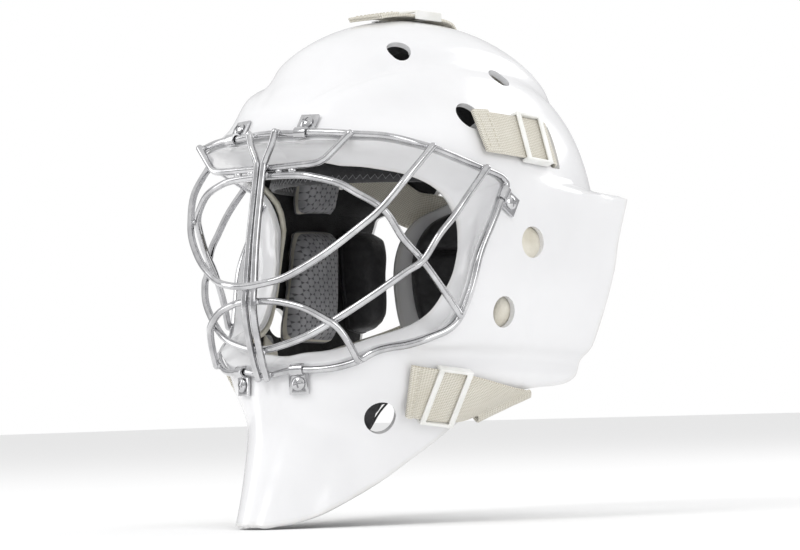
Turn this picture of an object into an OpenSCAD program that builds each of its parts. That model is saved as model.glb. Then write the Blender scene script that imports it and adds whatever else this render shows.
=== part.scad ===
// Goalie mask: moulded shell, welded wire cage, hinged backplate, elastic harness, foam liner.
// Units mm. +Z up, the face looks along -Y, the wearer's left is +X, origin at the head centre.

/* [Node] */
// Sub-part to build, "all" for the whole mask

/* [Shell] */
// Height of the crown above the head centre
crown_h = 151; // [140:1:165]
// Distance from the head centre to the back of the dome
dome_back = 134; // [120:1:150]
// Wall thickness of the shell
wall = 4; // [3:0.5:6]
// Radius of the two jaw holes that take a throat guard lace
lace_r = 11; // [6:0.5:14]
// Radius of the four cheek vents
vent_r = 10.5; // [6:0.5:13]

/* [Cage] */
// Diameter of the cage wire
wire_d = 4.8; // [4:0.1:6]
// Height of the wire centre over the shell
wire_lift = 3.1; // [2.8:0.1:5]

/* [Harness] */
// Width of the elastic straps
strap_w = 30; // [25:1:38]
// Thickness of the elastic straps
strap_t = 1.8; // [1.2:0.1:2.5]
// Screw shank radius
screw_r = 2.4; // [2:0.1:3]
// Screw head radius
head_r = 4.7; // [4:0.1:6]

/* [Liner] */
// Thickness of the comfort pads
pad_t = 13; // [8:1:18]
// Gap between pads and shell
pad_gap = 0.6; // [0.3:0.1:2]

/* [Hidden] */

$fn = 40;
white = [0.93, 0.93, 0.94];
steel = [0.75, 0.76, 0.78];
cream = [0.85, 0.83, 0.76];
foam_black = [0.1, 0.1, 0.11];
foam_grey = [0.62, 0.63, 0.66];

wire_r = wire_d / 2;
cols = 96;          // facets around the shell
rows = 14;          // facets from the shell edge to the face opening

// Section of the shell by height z: [z, value]
FRONT = [[-215, 173], [-192, 167], [-177, 161], [-158, 153.5], [-125, 142.5], [-96, 141],
  [-80, 140], [-60, 142], [0, 148], [60, 148], [76, 145], [90, 146], [115, 140], [160, 132]];
WIDE = [[-215, 78], [-185, 79], [-160, 80], [-140, 81], [-120, 83],
  [-96, 98], [-50, 107], [0, 110], [60, 110], [78, 109], [90, 107], [160, 107]];
SQUARE = [[-215, 1.35], [-160, 1.5], [-120, 1.7], [-95, 2], [-80, 2.25], [-50, 2.8],
  [0, 3.3], [58, 3.4], [70, 3], [80, 2.5], [95, 2.3], [160, 2.1]];
NOSE = [[-215, 13], [-150, 15], [-120, 14], [-85, 4], [-60, 1], [160, 1]];
// Shell edge and cage seat: [angle round the face, angle back from the front axis]
EDGE = [[-90, 49.2], [-87.5, 49.4], [-84.1, 50.6], [-81.2, 52.4], [-78.5, 54.4],
  [-75, 57], [-71.4, 60], [-65.7, 65], [-60.2, 71], [-53.9, 78], [-48.5, 85], [-46.2, 95], [-45.3, 102],
  [-44.2, 106.5], [-42.1, 110], [-38.3, 112.5], [-33, 115], [-23.4, 119], [-10.7, 123], [0, 124.7], [11, 127],
  [16, 128.5], [23, 136], [30, 143], [45, 142], [65, 140], [90, 139]];
SEAT = [[-90, 32], [-74, 32.7], [-52, 40], [-45, 42.7], [-36, 52], [-32, 56.8], [-28, 59.3],
  [-18, 61.5], [-5, 64.3], [10, 72.6], [16.5, 77.2], [19.3, 77], [22, 69.5], [25.5, 61], [30, 53],
  [34, 46.8], [45, 36.2], [66, 29], [78, 27.6], [90, 27.3]];
// Eye port outline seen from the front: [angle round the face, distance from the axis]
PORT = [[-90, 77], [-74, 78], [-54, 85], [-43, 91], [-35, 92], [-23, 88], [-7, 84.5],
  [10, 85], [22, 86], [30, 83], [37, 76], [51, 63], [90, 50]];
// Angle of each facet column of the left half, closer together round the chin and the flap corner
COLUMN = [[0, -90], [0.1, -79], [0.21, -64], [0.29, -52], [0.46, -40.5], [0.56, -26], [0.69, 0], [0.83, 40],
  [1, 90]];
// Half width of the raised crown band by y
BAND = [[-130, 18], [-110, 31], [-90, 43], [-60, 53], [-30, 60], [10, 63], [60, 60], [110, 48]];

function unit(v) = v / norm(v);
function smooth(a, b, x) = let (t = min(max((x - a) / (b - a), 0), 1)) t * t * (3 - 2 * t);
function spot(T, x, i = 0) = (i >= len(T) - 2 || x < T[i + 1][0]) ? i : spot(T, x, i + 1);
function slope(T, i) = let (a = max(i - 1, 0), b = min(i + 1, len(T) - 1))
  (T[b][1] - T[a][1]) / (T[b][0] - T[a][0]);
function curve(T, x0) = let (x = min(max(x0, T[0][0]), T[len(T) - 1][0]), i = spot(T, x),
  h = T[i + 1][0] - T[i][0], t = (x - T[i][0]) / h, s = t * t * (3 - 2 * t))
  T[i][1] * (1 - s) + T[i + 1][1] * s + h * t * (1 - t) * ((1 - t) * slope(T, i) - t * slope(T, i + 1));
function fold(a) = let (p = ((a + 180) % 360 + 360) % 360 - 180) p > 90 ? 180 - p : p < -90 ? -180 - p : p;
function mirror_x(v) = [-v[0], v[1], v[2]];

// Base form of the shell: below 1 inside, above 1 outside
function dome(t, m) = pow(max(1 - pow(min(max(t, 0), 1), m), 1e-6), 1 / m);
function ridge_z(y) = 39 - 8 * smooth(-20, 100, y);
function form(p) = let (x = abs(p[0]), y = p[1], z = p[2], t = z / crown_h, w = curve(WIDE, z) * dome(t, 2.05),
  n = curve(SQUARE, z), r = curve(NOSE, z), yc = -12 * pow(max(t, 0), 2),
  xr = (sqrt(x * x + r * r) - r) / (sqrt(w * w + r * r) - r))
  z >= crown_h ? 9 :
  y < yc ? pow(xr, n) + pow((yc - y) / max(curve(FRONT, z) * dome(t, 2.3) + yc, 2), n) :
  let (back = pow(xr, 2.5) + pow((y - yc) / max(dome_back * dome(t, 2.25) - yc, 2), 2.5),
    k = smooth(ridge_z(y) + 4, ridge_z(y) - 4, z), ys = y + 10,
    side = pow(x / (w + 0.055 * (sqrt(ys * ys + 900) + ys) - 2), 2.05))
  back * (1 - k) + side * k;
function aim(psi, om) = [sin(om) * cos(psi), -cos(om), sin(om) * sin(psi)];
function reach(d, lo = 40, hi = 290, k = 11) = k == 0 ? (lo + hi) / 2 :
  let (m = (lo + hi) / 2) form(d * m) < 1 ? reach(d, m, hi, k - 1) : reach(d, lo, m, k - 1);
function polish(d, r, k = 2) = k == 0 ? r : let (g0 = form(d * r), g1 = form(d * (r + 0.5)))
  polish(d, r + min(max((1 - g0) * 0.5 / (g1 - g0), -0.2), 0.2), k - 1);
// Raised crown band, brow bulges and the jaw groove
function relief(p, psi) = let (x = abs(p[0]), c = curve(BAND, p[1]), up = smooth(85, 105, p[2]),
  groove = -39 - 4 * smooth(-40, -110, p[1]))
  up * (smooth(c + 4, c - 4, x) * 3 * (1 - 2.2 * smooth(-70, -105, p[1]))
  - 2.5 * exp(-pow((x - c - 5) / 6, 2)))
  + 5 * exp(-pow((x - c - 22) / 15, 2) - pow((p[2] - 106) / 16, 2)) * smooth(-55, -90, p[1])
  - 4.5 * exp(-pow((psi - groove) / 3.2, 2)) * smooth(-125, -70, p[1]);
function skin(psi, om) = let (d = aim(psi, om), r = polish(d, reach(d)))
  d * (r + relief(d * r, fold(psi)));
function skin_n(psi, om) = let (e = 0.8)
  unit(cross(skin(psi + e, om) - skin(psi - e, om), skin(psi, om + e) - skin(psi, om - e))) *
  (cross(skin(psi + e, om) - skin(psi, om), skin(psi, om + e) - skin(psi, om)) * aim(psi, om) > 0 ? 1 : -1);
function on_skin(psi, om, off) = skin(psi, om) + skin_n(psi, om) * off;
function port_y(x) = -(115 - 66 * pow(min(abs(x), 84) / 83, 4.5));
function port(psi) = let (r = curve(PORT, fold(psi)), x = r * cos(psi)) [x, port_y(x), r * sin(psi)];
function seat(psi, off) = on_skin(psi, curve(SEAT, fold(psi)), off);

// Closed surface from a grid of points, rows joined into a ring when loop_rows is true
module mesh(G, loop_cols = false, loop_rows = false) {
  m = len(G); n = len(G[0]);
  cm = loop_cols ? m : m - 1; cn = loop_rows ? n : n - 1;
  pts = [for (r = G) each r];
  sides = [for (i = [0:cm - 1], j = [0:cn - 1]) let (a = (i + 1) % m, b = (j + 1) % n)
    each [[i * n + j, i * n + b, a * n + b], [i * n + j, a * n + b, a * n + j]]];
  caps = (loop_rows && !loop_cols) ? [[for (j = [n - 1:-1:0]) j], [for (j = [0:n - 1]) (m - 1) * n + j]] : [];
  polyhedron(pts, concat(sides, caps));
}
function grid_n(G, i, j, ring = false) = let (m = len(G), n = len(G[0]),
  i0 = ring ? (i + m - 1) % m : max(i - 1, 0), i1 = ring ? (i + 1) % m : min(i + 1, m - 1))
  unit(cross(G[i][min(j + 1, n - 1)] - G[i][max(j - 1, 0)], G[i1][j] - G[i0][j]));

// Sheet of even or cushioned thickness standing on a grid of points, from height a to height b
module sheet(G, a, b, cushion = 0) {
  m = len(G); n = len(G[0]); w = 2 * n;
  pts = [for (i = [0:m - 1]) each concat(
    [for (j = [0:n - 1]) G[i][j] + grid_n(G, i, j) * a],
    [for (j = [n - 1:-1:0]) G[i][j] + grid_n(G, i, j) * (a + (b - a) *
      (1 - cushion + cushion * puff(i / (m - 1), j / (n - 1))))])];
  ring = [for (i = [0:m - 2], j = [0:w - 1]) let (k = (j + 1) % w)
    each [[i * w + j, i * w + k, (i + 1) * w + k], [i * w + j, (i + 1) * w + k, (i + 1) * w + j]]];
  cap = [for (e = [0, m - 1], j = [0:n - 2]) let (o = e * w, q = [o + j, o + j + 1, o + w - 2 - j, o + w - 1 - j])
    each (e == 0 ? [[q[0], q[2], q[1]], [q[0], q[3], q[2]]] : [[q[0], q[1], q[2]], [q[0], q[2], q[3]]])];
  polyhedron(pts, concat(ring, cap));
}
function puff(u, v) = pow(max((1 - pow(2 * u - 1, 4)) * (1 - pow(2 * v - 1, 4)), 0), 0.4);
function mix4(c, u, v) = (c[0] * (1 - u) + c[1] * u) * (1 - v) + (c[3] * (1 - u) + c[2] * u) * v;
function patch(c, nu, nv) = [for (i = [0:nu]) [for (j = [0:nv]) let (q = mix4(c, 1 - i / nu, j / nv)) skin(q[0], q[1])]];
module pad(c, t, nu = 9, nv = 7, more = 0.8) let (a = wall + pad_gap + more) sheet(patch(c, nu, nv), a, a + t, 0.65);

// Round bar through a list of points
function carry(T, u, i = 0, acc = []) = i >= len(T) ? acc :
  let (v = unit(u - T[i] * (u * T[i]))) carry(T, v, i + 1, concat(acc, [v]));
module bar(P, r, closed = false, sides = 8) {
  n = len(P);
  T = [for (i = [0:n - 1]) closed ? unit(P[(i + 1) % n] - P[(i + n - 1) % n]) :
    unit(P[min(i + 1, n - 1)] - P[max(i - 1, 0)])];
  U = carry(T, cross(T[0], [0.1, 0.2, 1]));
  mesh([for (i = [0:n - 1]) let (v = cross(U[i], T[i]))
    [for (k = [0:sides - 1]) P[i] + r * (cos(360 * k / sides) * U[i] + sin(360 * k / sides) * v)]],
    loop_cols = closed, loop_rows = true);
}
function bend(P, k = 4) = let (n = len(P)) concat([for (i = [0:n - 2]) let (a = P[max(i - 1, 0)],
  b = P[i], c = P[i + 1], d = P[min(i + 2, n - 1)]) for (s = [0:k - 1]) let (t = s / k)
  0.5 * ((2 * b) + (c - a) * t + (2 * a - 5 * b + 4 * c - d) * t * t + (3 * b - a - 3 * c + d) * t * t * t)],
  [P[n - 1]]);
function both(P) = concat([for (i = [len(P) - 1:-1:1]) mirror_x(P[i])], P);

// Flat strap through [centre, width direction, normal] stations
module strap(S, w, t) mesh([for (s = S) let (a = unit(s[1]) * w / 2, b = unit(s[2]) * t / 2)
  [s[0] - a - b, s[0] - a + b, s[0] + a + b, s[0] + a - b]], loop_rows = true);
// Station over the skin at [angle round, angle back, height], running along increasing angle back
function stop(q) = let (n = skin_n(q[0], q[1]), d = skin(q[0], q[1] + 1) - skin(q[0], q[1] - 1))
  [skin(q[0], q[1]) + n * q[2], cross(n, d), n];

// Local frame standing on the shell: z outward, x toward the front edge of the face opening
module stand(psi, om, off = 0) place(on_skin(psi, om, off), skin(psi, om - 1) - skin(psi, om + 1),
  skin_n(psi, om)) children();
module place(p, along, n) {
  x = unit(along - n * (n * along)); y = cross(n, x);
  multmatrix([[x[0], y[0], n[0], p[0]], [x[1], y[1], n[1], p[1]], [x[2], y[2], n[2], p[2]], [0, 0, 0, 1]])
    children();
}
module drill(q, r) stand(q[0], q[1], -wall * 3) cylinder(r = r, h = wall * 6);
module slot(q, along, across) stand(q[0], q[1]) cube([along, across, wall * 6], center = true);
module right() mirror([1, 0, 0]) children();
module pair() { children(); right() children(); }

// Places on the left side: [angle round the face, angle back from the front axis]
CLIP_TOP = [67.8, 32.25];
CLIP_SIDE = [11.3, 78.75];
CLIP_BOTTOM = [-75.2, 35.2];
LACE = [-63.7, 53.3];
CHEEK_VENTS = [[-2, 90.6], [-25.3, 77.5]];
ROUND_VENT = [41.6, 72.9];
CROWN_VENT = [68.5, 66.4];
REAR_VENT = [57, 97.3];
TOP_SLOT = [90, 105];
UPPER_SLOT = [32.5, 107.5];
TOP_RIVET = [90, 80.5];
UPPER_RIVET = [35, 76];
LOWER_RIVET = [-52.7, 56];
TOP_SLIDE = [90, 93];
UPPER_SLIDE = [33.15, 96];
LOWER_SLIDE = [81.7, -62.4, -103.2];    // a point, not angles
jaw_w = 36.2;       // width of the lower strap at its slider
strap_lift = 3.3;

module shell() color(white) difference() {
  shell_skin();
  pair() {
    for (q = [CLIP_TOP, CLIP_SIDE, CLIP_BOTTOM]) drill(q, screw_r + 0.3);
    for (q = [UPPER_RIVET, LOWER_RIVET]) drill(q, 2.2);
    for (q = CHEEK_VENTS) drill(q, vent_r);
    drill(LACE, lace_r);
    drill(ROUND_VENT, vent_r);
    drill(CROWN_VENT, vent_r * 0.8);
    drill(REAR_VENT, vent_r * 0.8);
    slot(UPPER_SLOT, 12, strap_w + 3);
  }
  drill(TOP_RIVET, 2.2);
  slot(TOP_SLOT, 12, strap_w + 3);
}
function shell_outer(psi) = let (f = fold(psi), a = curve(EDGE, f), b = curve(SEAT, f) - 1.6,
  rim = skin(psi, b), p = port(psi), d = p - rim, n = unit(cross(cross(d, aim(psi, b)), d)))
  concat([for (j = [0:rows]) skin(psi, a + (b - a) * pow(j / rows, 1 + 0.5 * smooth(-50, -80, f)))],
  [for (k = [1:4]) rim + d * (k / 4) - n * 4 * sin(180 * k / 4)]);
module shell_skin() {
  half = cols / 2;
  G = [for (i = [0:cols - 1]) shell_outer(i <= half ? curve(COLUMN, i / half) : 180 - curve(COLUMN, (cols - i) / half))];
  n = len(G[0]);
  mesh([for (i = [0:cols - 1]) concat(G[i],
    [for (j = [n - 1:-1:0]) G[i][j] + grid_n(G, i, j, true) * wall])], true, true);
}
// Soft channel behind the edge of the eye port
module port_gasket() color(cream) {
  G = [for (i = [0:59]) let (S = shell_outer(-90 + 6 * i), n = len(S)) [S[n - 3], S[n - 2], S[n - 1]]];
  bar([for (i = [0:59]) G[i][2] + grid_n(G, i, 2, true) * (wall + 3.6)], 2.1, closed = true, sides = 6);
}

// Cage wires, left half from the middle outward
BROW = [[0, -139.9, 48.5], [25, -139.6, 48.7], [44, -138.6, 49.2], [51, -137.7, 51.2], [56, -136, 55],
  [69.5, -131.3, 67.3]];
EYE = [[0, -140.6, 43.3], [30, -140.4, 42.3], [45, -138.2, 39.8], [61, -133.6, 35], [73, -128.3, 27.5],
  [82.5, -122, 20.5], [87.5, -116, 13], [91, -107, -1.6], [95.5, -94.5, -15.5], [101, -81.5, -34],
  [107, -71, -52.5]];
UPPER = [[0, -161.8, -29.5], [17, -160.4, -28], [33, -155.5, -24], [55, -146.5, -12], [75.2, -134.6, 4],
  [88.2, -123.1, 18], [99, -108.5, 38.5], [103.6, -88.8, 58]];
LOWER = [[0, -148.6, -71], [11, -148.2, -70.3], [35, -143.5, -64], [54, -135.5, -54], [77, -121.5, -38],
  [93, -106.5, -23.5], [99.5, -97.5, -16.5], [105.5, -87.5, 0], [109, -76.5, 12], [111.5, -63, 27.5],
  [112.6, -45.8, 44.5]];
MOUTH = [[0, -153.8, -39.3], [12.4, -152.9, -39.5], [22.3, -150.6, -40.6], [38.9, -147, -45.1],
  [52.5, -141.6, -52.9], [58.8, -136.3, -59], [62.5, -131.3, -68], [65, -125.3, -80]];
CENTER = [[12, -142, 72], [9, -142.8, 63], [4.2, -143.6, 54], [2.9, -144.6, 48], [2.9, -149.9, 20],
  [3.2, -154, -4], [3.7, -157, -28], [3.9, -158.5, -40], [3.9, -157.2, -55], [3.9, -152.6, -75],
  [3.9, -147.4, -90]];
module wire(P) color(steel) bar(bend(P), wire_r);
module cage_frame() color(steel)
  bar([for (psi = [-90:5:265]) seat(psi, wire_lift)], wire_r, closed = true);

// Clamp that hooks the frame wire to the shell, and its screw and nut
plate_t = 1.6;
hook_t = 1.3;
plate_up = 0.8;
hook_r = wire_r + 0.4;
function wire_dir(q) = unit(seat(q[0] + 3, wire_lift) - seat(q[0] - 3, wire_lift));
module clip(q) {
  p = skin(q[0], q[1]); n = skin_n(q[0], q[1]); t = wire_dir(q); y = unit(t - n * (t * n));
  w0 = seat(q[0], wire_lift) - p; w = w0 - t * (w0 * y) / (t * y); h = w * n; far = norm(w - n * h);
  color(steel) place(p + n * plate_up, w, n) difference() {
    union() {
      translate([-7, -7, 0]) cube([far + 7 - hook_r, 14, plate_t]);
      translate([far, 0, h - plate_up]) rotate([90, 0, 0]) rotate([0, 0, -20])
        rotate_extrude(angle = 225) translate([hook_r, -4.5]) square([hook_t, 9]);
    }
    translate([0, 0, -1]) cylinder(r = screw_r + 0.3, h = plate_t + 2);
  }
}
module screw(q) color(steel) stand(q[0], q[1], plate_up + plate_t + 0.2) difference() {
  union() {
    intersection() {
      translate([0, 0, -4.6]) sphere(r = 7.4);
      cylinder(r = head_r, h = 4);
    }
    translate([0, 0, -wall - 8.5]) cylinder(r = screw_r, h = wall + 9);
  }
  translate([-3, -0.6, 1.6]) cube([6, 1.2, 2]);
  translate([-0.6, -3, 1.6]) cube([1.2, 6, 2]);
}
module nut(q) color(steel) stand(q[0], q[1], -wall - 2.8) difference() {
  union() {
    cylinder(r = 4.8, h = 1.2);
    translate([0, 0, -2]) cylinder(r = 3.6, h = 3);
  }
  translate([0, 0, -3]) cylinder(r = screw_r + 0.25, h = 6);
}
module cage_screws() pair() for (q = [CLIP_TOP, CLIP_SIDE, CLIP_BOTTOM]) screw(q);
module cage_nuts() pair() for (q = [CLIP_TOP, CLIP_SIDE, CLIP_BOTTOM]) nut(q);

// Straps lie over the shell, pass the slider and dive through a slot
function run(psi0, om0, psi1, om1, k) = [for (i = [0:k]) stop([psi0 + (psi1 - psi0) * i / k,
  om0 + (om1 - om0) * i / k, strap_lift])];
function dive(q) = [stop([q[0], q[1] - 1.5, 2.2]), stop([q[0], q[1], -1.5]), stop([q[0], q[1] + 1.5, -6.5])];
module harness(front, q, inside = [], k = 8) color(cream) {
  S = run(front[0], front[1], q[0], q[1] - 3.5, k);
  strap(concat(S, dive(q), inside), strap_w, strap_t);
  strap([stop([front[0], front[1] - 0.5, 2.8]), stop([front[0], front[1] + 2, 2.8])], strap_w, 3.6);
}
module top_strap() harness([90, 77.5], TOP_SLOT, [stop([90, 113, -7.6]), stop([90, 122, -7]), stop([90, 131, -6.6])]);
module upper_strap() harness([35, 73], UPPER_SLOT, [stop([31.7, 112.5, -11]), stop([29.5, 117, -12]),
  stop([27, 121.5, -12])]);
// The lower strap lies flat along the jaw and folds round the lower edge of the shell.
// Its two long edges: [share of the way, angle round, angle back]
JAW_LOW = [[0, -60, 57.6], [0.65, -57.6, 72], [1, -54.3, 78]];
JAW_HIGH = [[0, -46.2, 51.4], [0.4, -44.3, 67.3], [1, -46.5, 93]];
function track(T, u) = [curve([for (t = T) [t[0], t[1]]], u), curve([for (t = T) [t[0], t[2]]], u)];
function jaw(u, v, off) = let (a = track(JAW_LOW, u), b = track(JAW_HIGH, u))
  on_skin(a[0], a[1], off) * (1 - v) + on_skin(b[0], b[1], off) * v;
function edge_at(t, back, off) = let (a = track(JAW_LOW, 1), b = track(JAW_HIGH, 1), q = b * (1 - t) + a * t)
  skin(q[0] - back * 0.8, q[1] + back * 0.6) + skin_n(q[0], q[1]) * off;
module lower_strap() color(cream) {
  n = 6;
  body = [for (i = [0:9]) [for (j = [0:n]) jaw(i / 9, j / n, i == 9 ? strap_lift : strap_lift + 1.4)]];
  wrap = [for (w = [[2, 2.8], [3.2, 0.4], [3.2, -4.4], [1.7, -7.6], [-3.5, -8.2]])
    [for (j = [0:n]) edge_at(1 - j / n, w[0], w[1])]];
  sheet(concat(body, wrap), -strap_t / 2, strap_t / 2);
  inside = skin_n(JAW_HIGH[2][1], JAW_HIGH[2][2]);
  strap(lane([edge_at(0.3, -5, -14), edge_at(0.1, -3, -18) + [0, 14, 6]], inside, inside), strap_w - 4, strap_t);
}
// Three-bar slider of inner width w: heights of its rails, middle bar and outer bars over the shell
module slider(w, low, mid, thick, top) color(white) {
  out = w / 2 + 2.8;
  for (s = [-1, 1]) {
    translate([s * 11 - 2, -out, top]) cube([4, 2 * out, 1.5]);
    translate([-13, s * (out - 1) - 1, low]) cube([26, 2, top + 1.5 - low]);
  }
  translate([-2, -out + 1, mid]) cube([4, 2 * out - 2, thick]);
}
module strap_slider(q, lean = 0) place(skin(q[0], q[1]), skin(q[0] + lean, q[1] - 1) - skin(q[0] - lean, q[1] + 1),
  skin_n(q[0], q[1])) slider(strap_w, 0.5, 0.5, 1.2, 5.2);
module lower_slider() place(LOWER_SLIDE, [-8, -27.5, 3.9], [0.815, -0.307, -0.492])
  slider(jaw_w, 1.4, 2.5, 1, 6.2);
module rivet(q) color(steel) stand(q[0], q[1], 0.3) {
  cylinder(r = 4, h = 0.6);
  translate([0, 0, -wall - 1.2]) cylinder(r = 1.9, h = wall + 1.4);
  translate([0, 0, -wall - 2.1]) cylinder(r = 4.2, h = 0.9);
}
module strap_rivets() {
  pair() { rivet(UPPER_RIVET); rivet(LOWER_RIVET); }
  rivet(TOP_RIVET);
}

// Liner
module sweatband() color(foam_black) strap([for (i = [0:20]) let (a = -70 + 7 * i)
  [[82 * sin(a), -99 * cos(a), 54], [0.1 * sin(a), 0.3 * cos(a), 1], [sin(a), -cos(a), 0]]], 34, 5);
module forehead_pad() color(foam_black) pad([[62, 46], [118, 46], [118, 66], [62, 66]], 15, 12, 8, 3);
module crown_pad() color(foam_black) pad([[62, 72], [118, 72], [118, 98], [62, 98]], pad_t, 10, 7, 2);
module temple_pad() color(foam_grey) pad([[14, 84], [34, 83], [35, 104], [14, 104]], pad_t + 6);
module cheek_pad() color(foam_grey) pad([[-33, 74], [9, 84], [9, 106], [-33, 100]], pad_t + 9);
module jaw_pad() color(foam_grey) pad([[-58, 61], [-44, 60], [-44, 75], [-53, 71]], pad_t - 2, 9, 9, 1.6);

// Chin cup hung on two straps that swing at snaps inside the jaw
SNAP = [-35, 68];
snap_in = 12;
CUP = [0, -97, -103];
cup_r = 30;
module chin_cup() color(foam_black) translate(CUP) rotate([-35, 0, 0])
  mesh([for (i = [0:23]) [for (k = [0:15]) let (out = k < 8, g = 9 + 9.5 * (out ? k : 15 - k),
    r = out ? cup_r : cup_r - 5) r * [sin(g) * cos(15 * i), sin(g) * sin(15 * i), -cos(g)]]], true, true);
function snap_p() = on_skin(SNAP[0], SNAP[1], -snap_in);
module chin_strap() color(foam_grey) {
  a = snap_p(); c = CUP + (cup_r + 1.3) * unit([26.5, 6, -6]);
  m = (a + c) / 2 + [4, -2, -2];
  strap(lane(bend([a, m, c], 4), [1, 0, 0], unit(c - CUP)), 16, 1.8);
}
module chin_snaps() pair() color(steel) {
  a = snap_p();
  translate(a + [1.7, 0, 0]) rotate([0, 90, 0]) cylinder(r = 5.5, h = 1.5);
  translate(a + [3, 0, 0]) rotate([0, 90, 0]) cylinder(r = 2.2, h = 3.6);
}

// Backplate: a cup under the rear rim of the shell, hung from the top strap
plate_wall = 3;
RIM = [[-90, 47], [-60, 50], [-40, 52], [-20, 50], [0, 47], [15, 42], [30, 32.5], [45, 32.5], [64, 34.5],
  [76, 40], [90, 41.8]];
vent_a = 9;
function rear(beta, gam) = let (d = [sin(gam) * cos(beta), cos(gam), sin(gam) * sin(beta)])
  d / pow(pow(abs(d[0]) / 100, 2.4) + pow(abs(d[1]) / 128, 2.4) + pow(abs(d[2]) / 135, 2.4), 1 / 2.4);
function rear_n(beta, gam) = unit(cross(rear(beta + 1, gam) - rear(beta - 1, gam),
  rear(beta, gam + 1) - rear(beta, gam - 1)));
function rear_ring(lo, hi, a, b, cush, n, m) = [for (i = [0:m - 1]) let (beta = 360 * i / m,
  top = curve(RIM, fold(beta)) * hi) concat(
  [for (j = [0:n]) let (g = lo + (top - lo) * j / n) rear(beta, g) - rear_n(beta, g) * a],
  [for (j = [n:-1:0]) let (g = lo + (top - lo) * j / n)
    rear(beta, g) - rear_n(beta, g) * (a + (b - a) * (1 - cush + cush * pow(1 - pow(2 * j / n - 1, 4), 0.4)))])];
module backplate() color(white) mesh(rear_ring(vent_a, 1, 0, plate_wall, 0, 9, 48), true, true);
module backplate_pad() color(foam_black)
  mesh(rear_ring(vent_a + 5, 0.88, plate_wall + pad_gap, plate_wall + pad_gap + 12, 0.6, 6, 36), true, true);
TABS = [[90, 37.5], [22, 33], [-40, 43]];
module tab_rivet(t, lift = 3.4) color(steel) {
  p = rear(t[0], t[1]); n = rear_n(t[0], t[1]);
  translate(p + n * lift) multmatrix(frame_z(n)) cylinder(r = 4, h = 1.2);
}
function frame_z(n) = let (x = unit(cross([0.1, 1, 0.2], n)), y = cross(n, x))
  [[x[0], y[0], n[0], 0], [x[1], y[1], n[1], 0], [x[2], y[2], n[2], 0], [0, 0, 0, 1]];
module backplate_rivets() { tab_rivet(TABS[0], 0.2); pair() { tab_rivet(TABS[1]); tab_rivet(TABS[2]); } }
// Ends of the side straps that lie on the backplate
function lane(P, n0, n1) = let (k = len(P) - 1) [for (i = [0:k]) let (n = unit(n0 * (1 - i / k) + n1 * (i / k)),
  d = P[min(i + 1, k)] - P[max(i - 1, 0)]) [P[i], cross(n, d), n]];
function on_rear(beta, gam, off) = rear(beta, gam) + rear_n(beta, gam) * off;
module backplate_leads() color(cream) pair() {
  b = TABS[1][0]; c = TABS[2][0];
  strap(lane(bend([on_rear(b, 37, 2.1), on_rear(b, 33, 2), on_rear(b, 29, 1.8)], 2), rear_n(b, 37),
    rear_n(b, 30)), strap_w - 3, strap_t);
  strap(lane(bend([on_rear(c, 52, 3.2), on_rear(c, 46, 2.4), on_rear(c, 40, 1.8)], 2), rear_n(c, 52), rear_n(c, 40)),
    strap_w - 4, strap_t);
}

shell();
port_gasket();
cage_frame();
wire(both(BROW));  // cage_brow_bar
wire(both(EYE));  // cage_eye_bar
wire(both(UPPER));  // cage_upper_sweep
wire(both(LOWER));  // cage_lower_sweep
wire(both(MOUTH));  // cage_mouth_bar
wire(CENTER);  // cage_center_left
right() wire(CENTER);  // cage_center_right
clip(CLIP_TOP);  // clip_top_left
right() clip(CLIP_TOP);  // clip_top_right
clip(CLIP_SIDE);  // clip_side_left
right() clip(CLIP_SIDE);  // clip_side_right
clip(CLIP_BOTTOM);  // clip_bottom_left
right() clip(CLIP_BOTTOM);  // clip_bottom_right
cage_screws();
cage_nuts();
top_strap();
upper_strap();  // upper_strap_left
right() upper_strap();  // upper_strap_right
lower_strap();  // lower_strap_left
right() lower_strap();  // lower_strap_right
strap_slider(TOP_SLIDE);  // top_slider
strap_slider(UPPER_SLIDE, 0.08);  // upper_slider_left
right() strap_slider(UPPER_SLIDE, 0.08);  // upper_slider_right
lower_slider();  // lower_slider_left
right() lower_slider();  // lower_slider_right
strap_rivets();
sweatband();
forehead_pad();
crown_pad();
temple_pad();  // temple_pad_left
right() temple_pad();  // temple_pad_right
cheek_pad();  // cheek_pad_left
right() cheek_pad();  // cheek_pad_right
jaw_pad();  // jaw_pad_left
right() jaw_pad();  // jaw_pad_right
chin_cup();
chin_strap();  // chin_strap_left
right() chin_strap();  // chin_strap_right
chin_snaps();
backplate();
backplate_pad();
backplate_leads();
backplate_rivets();
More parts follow.
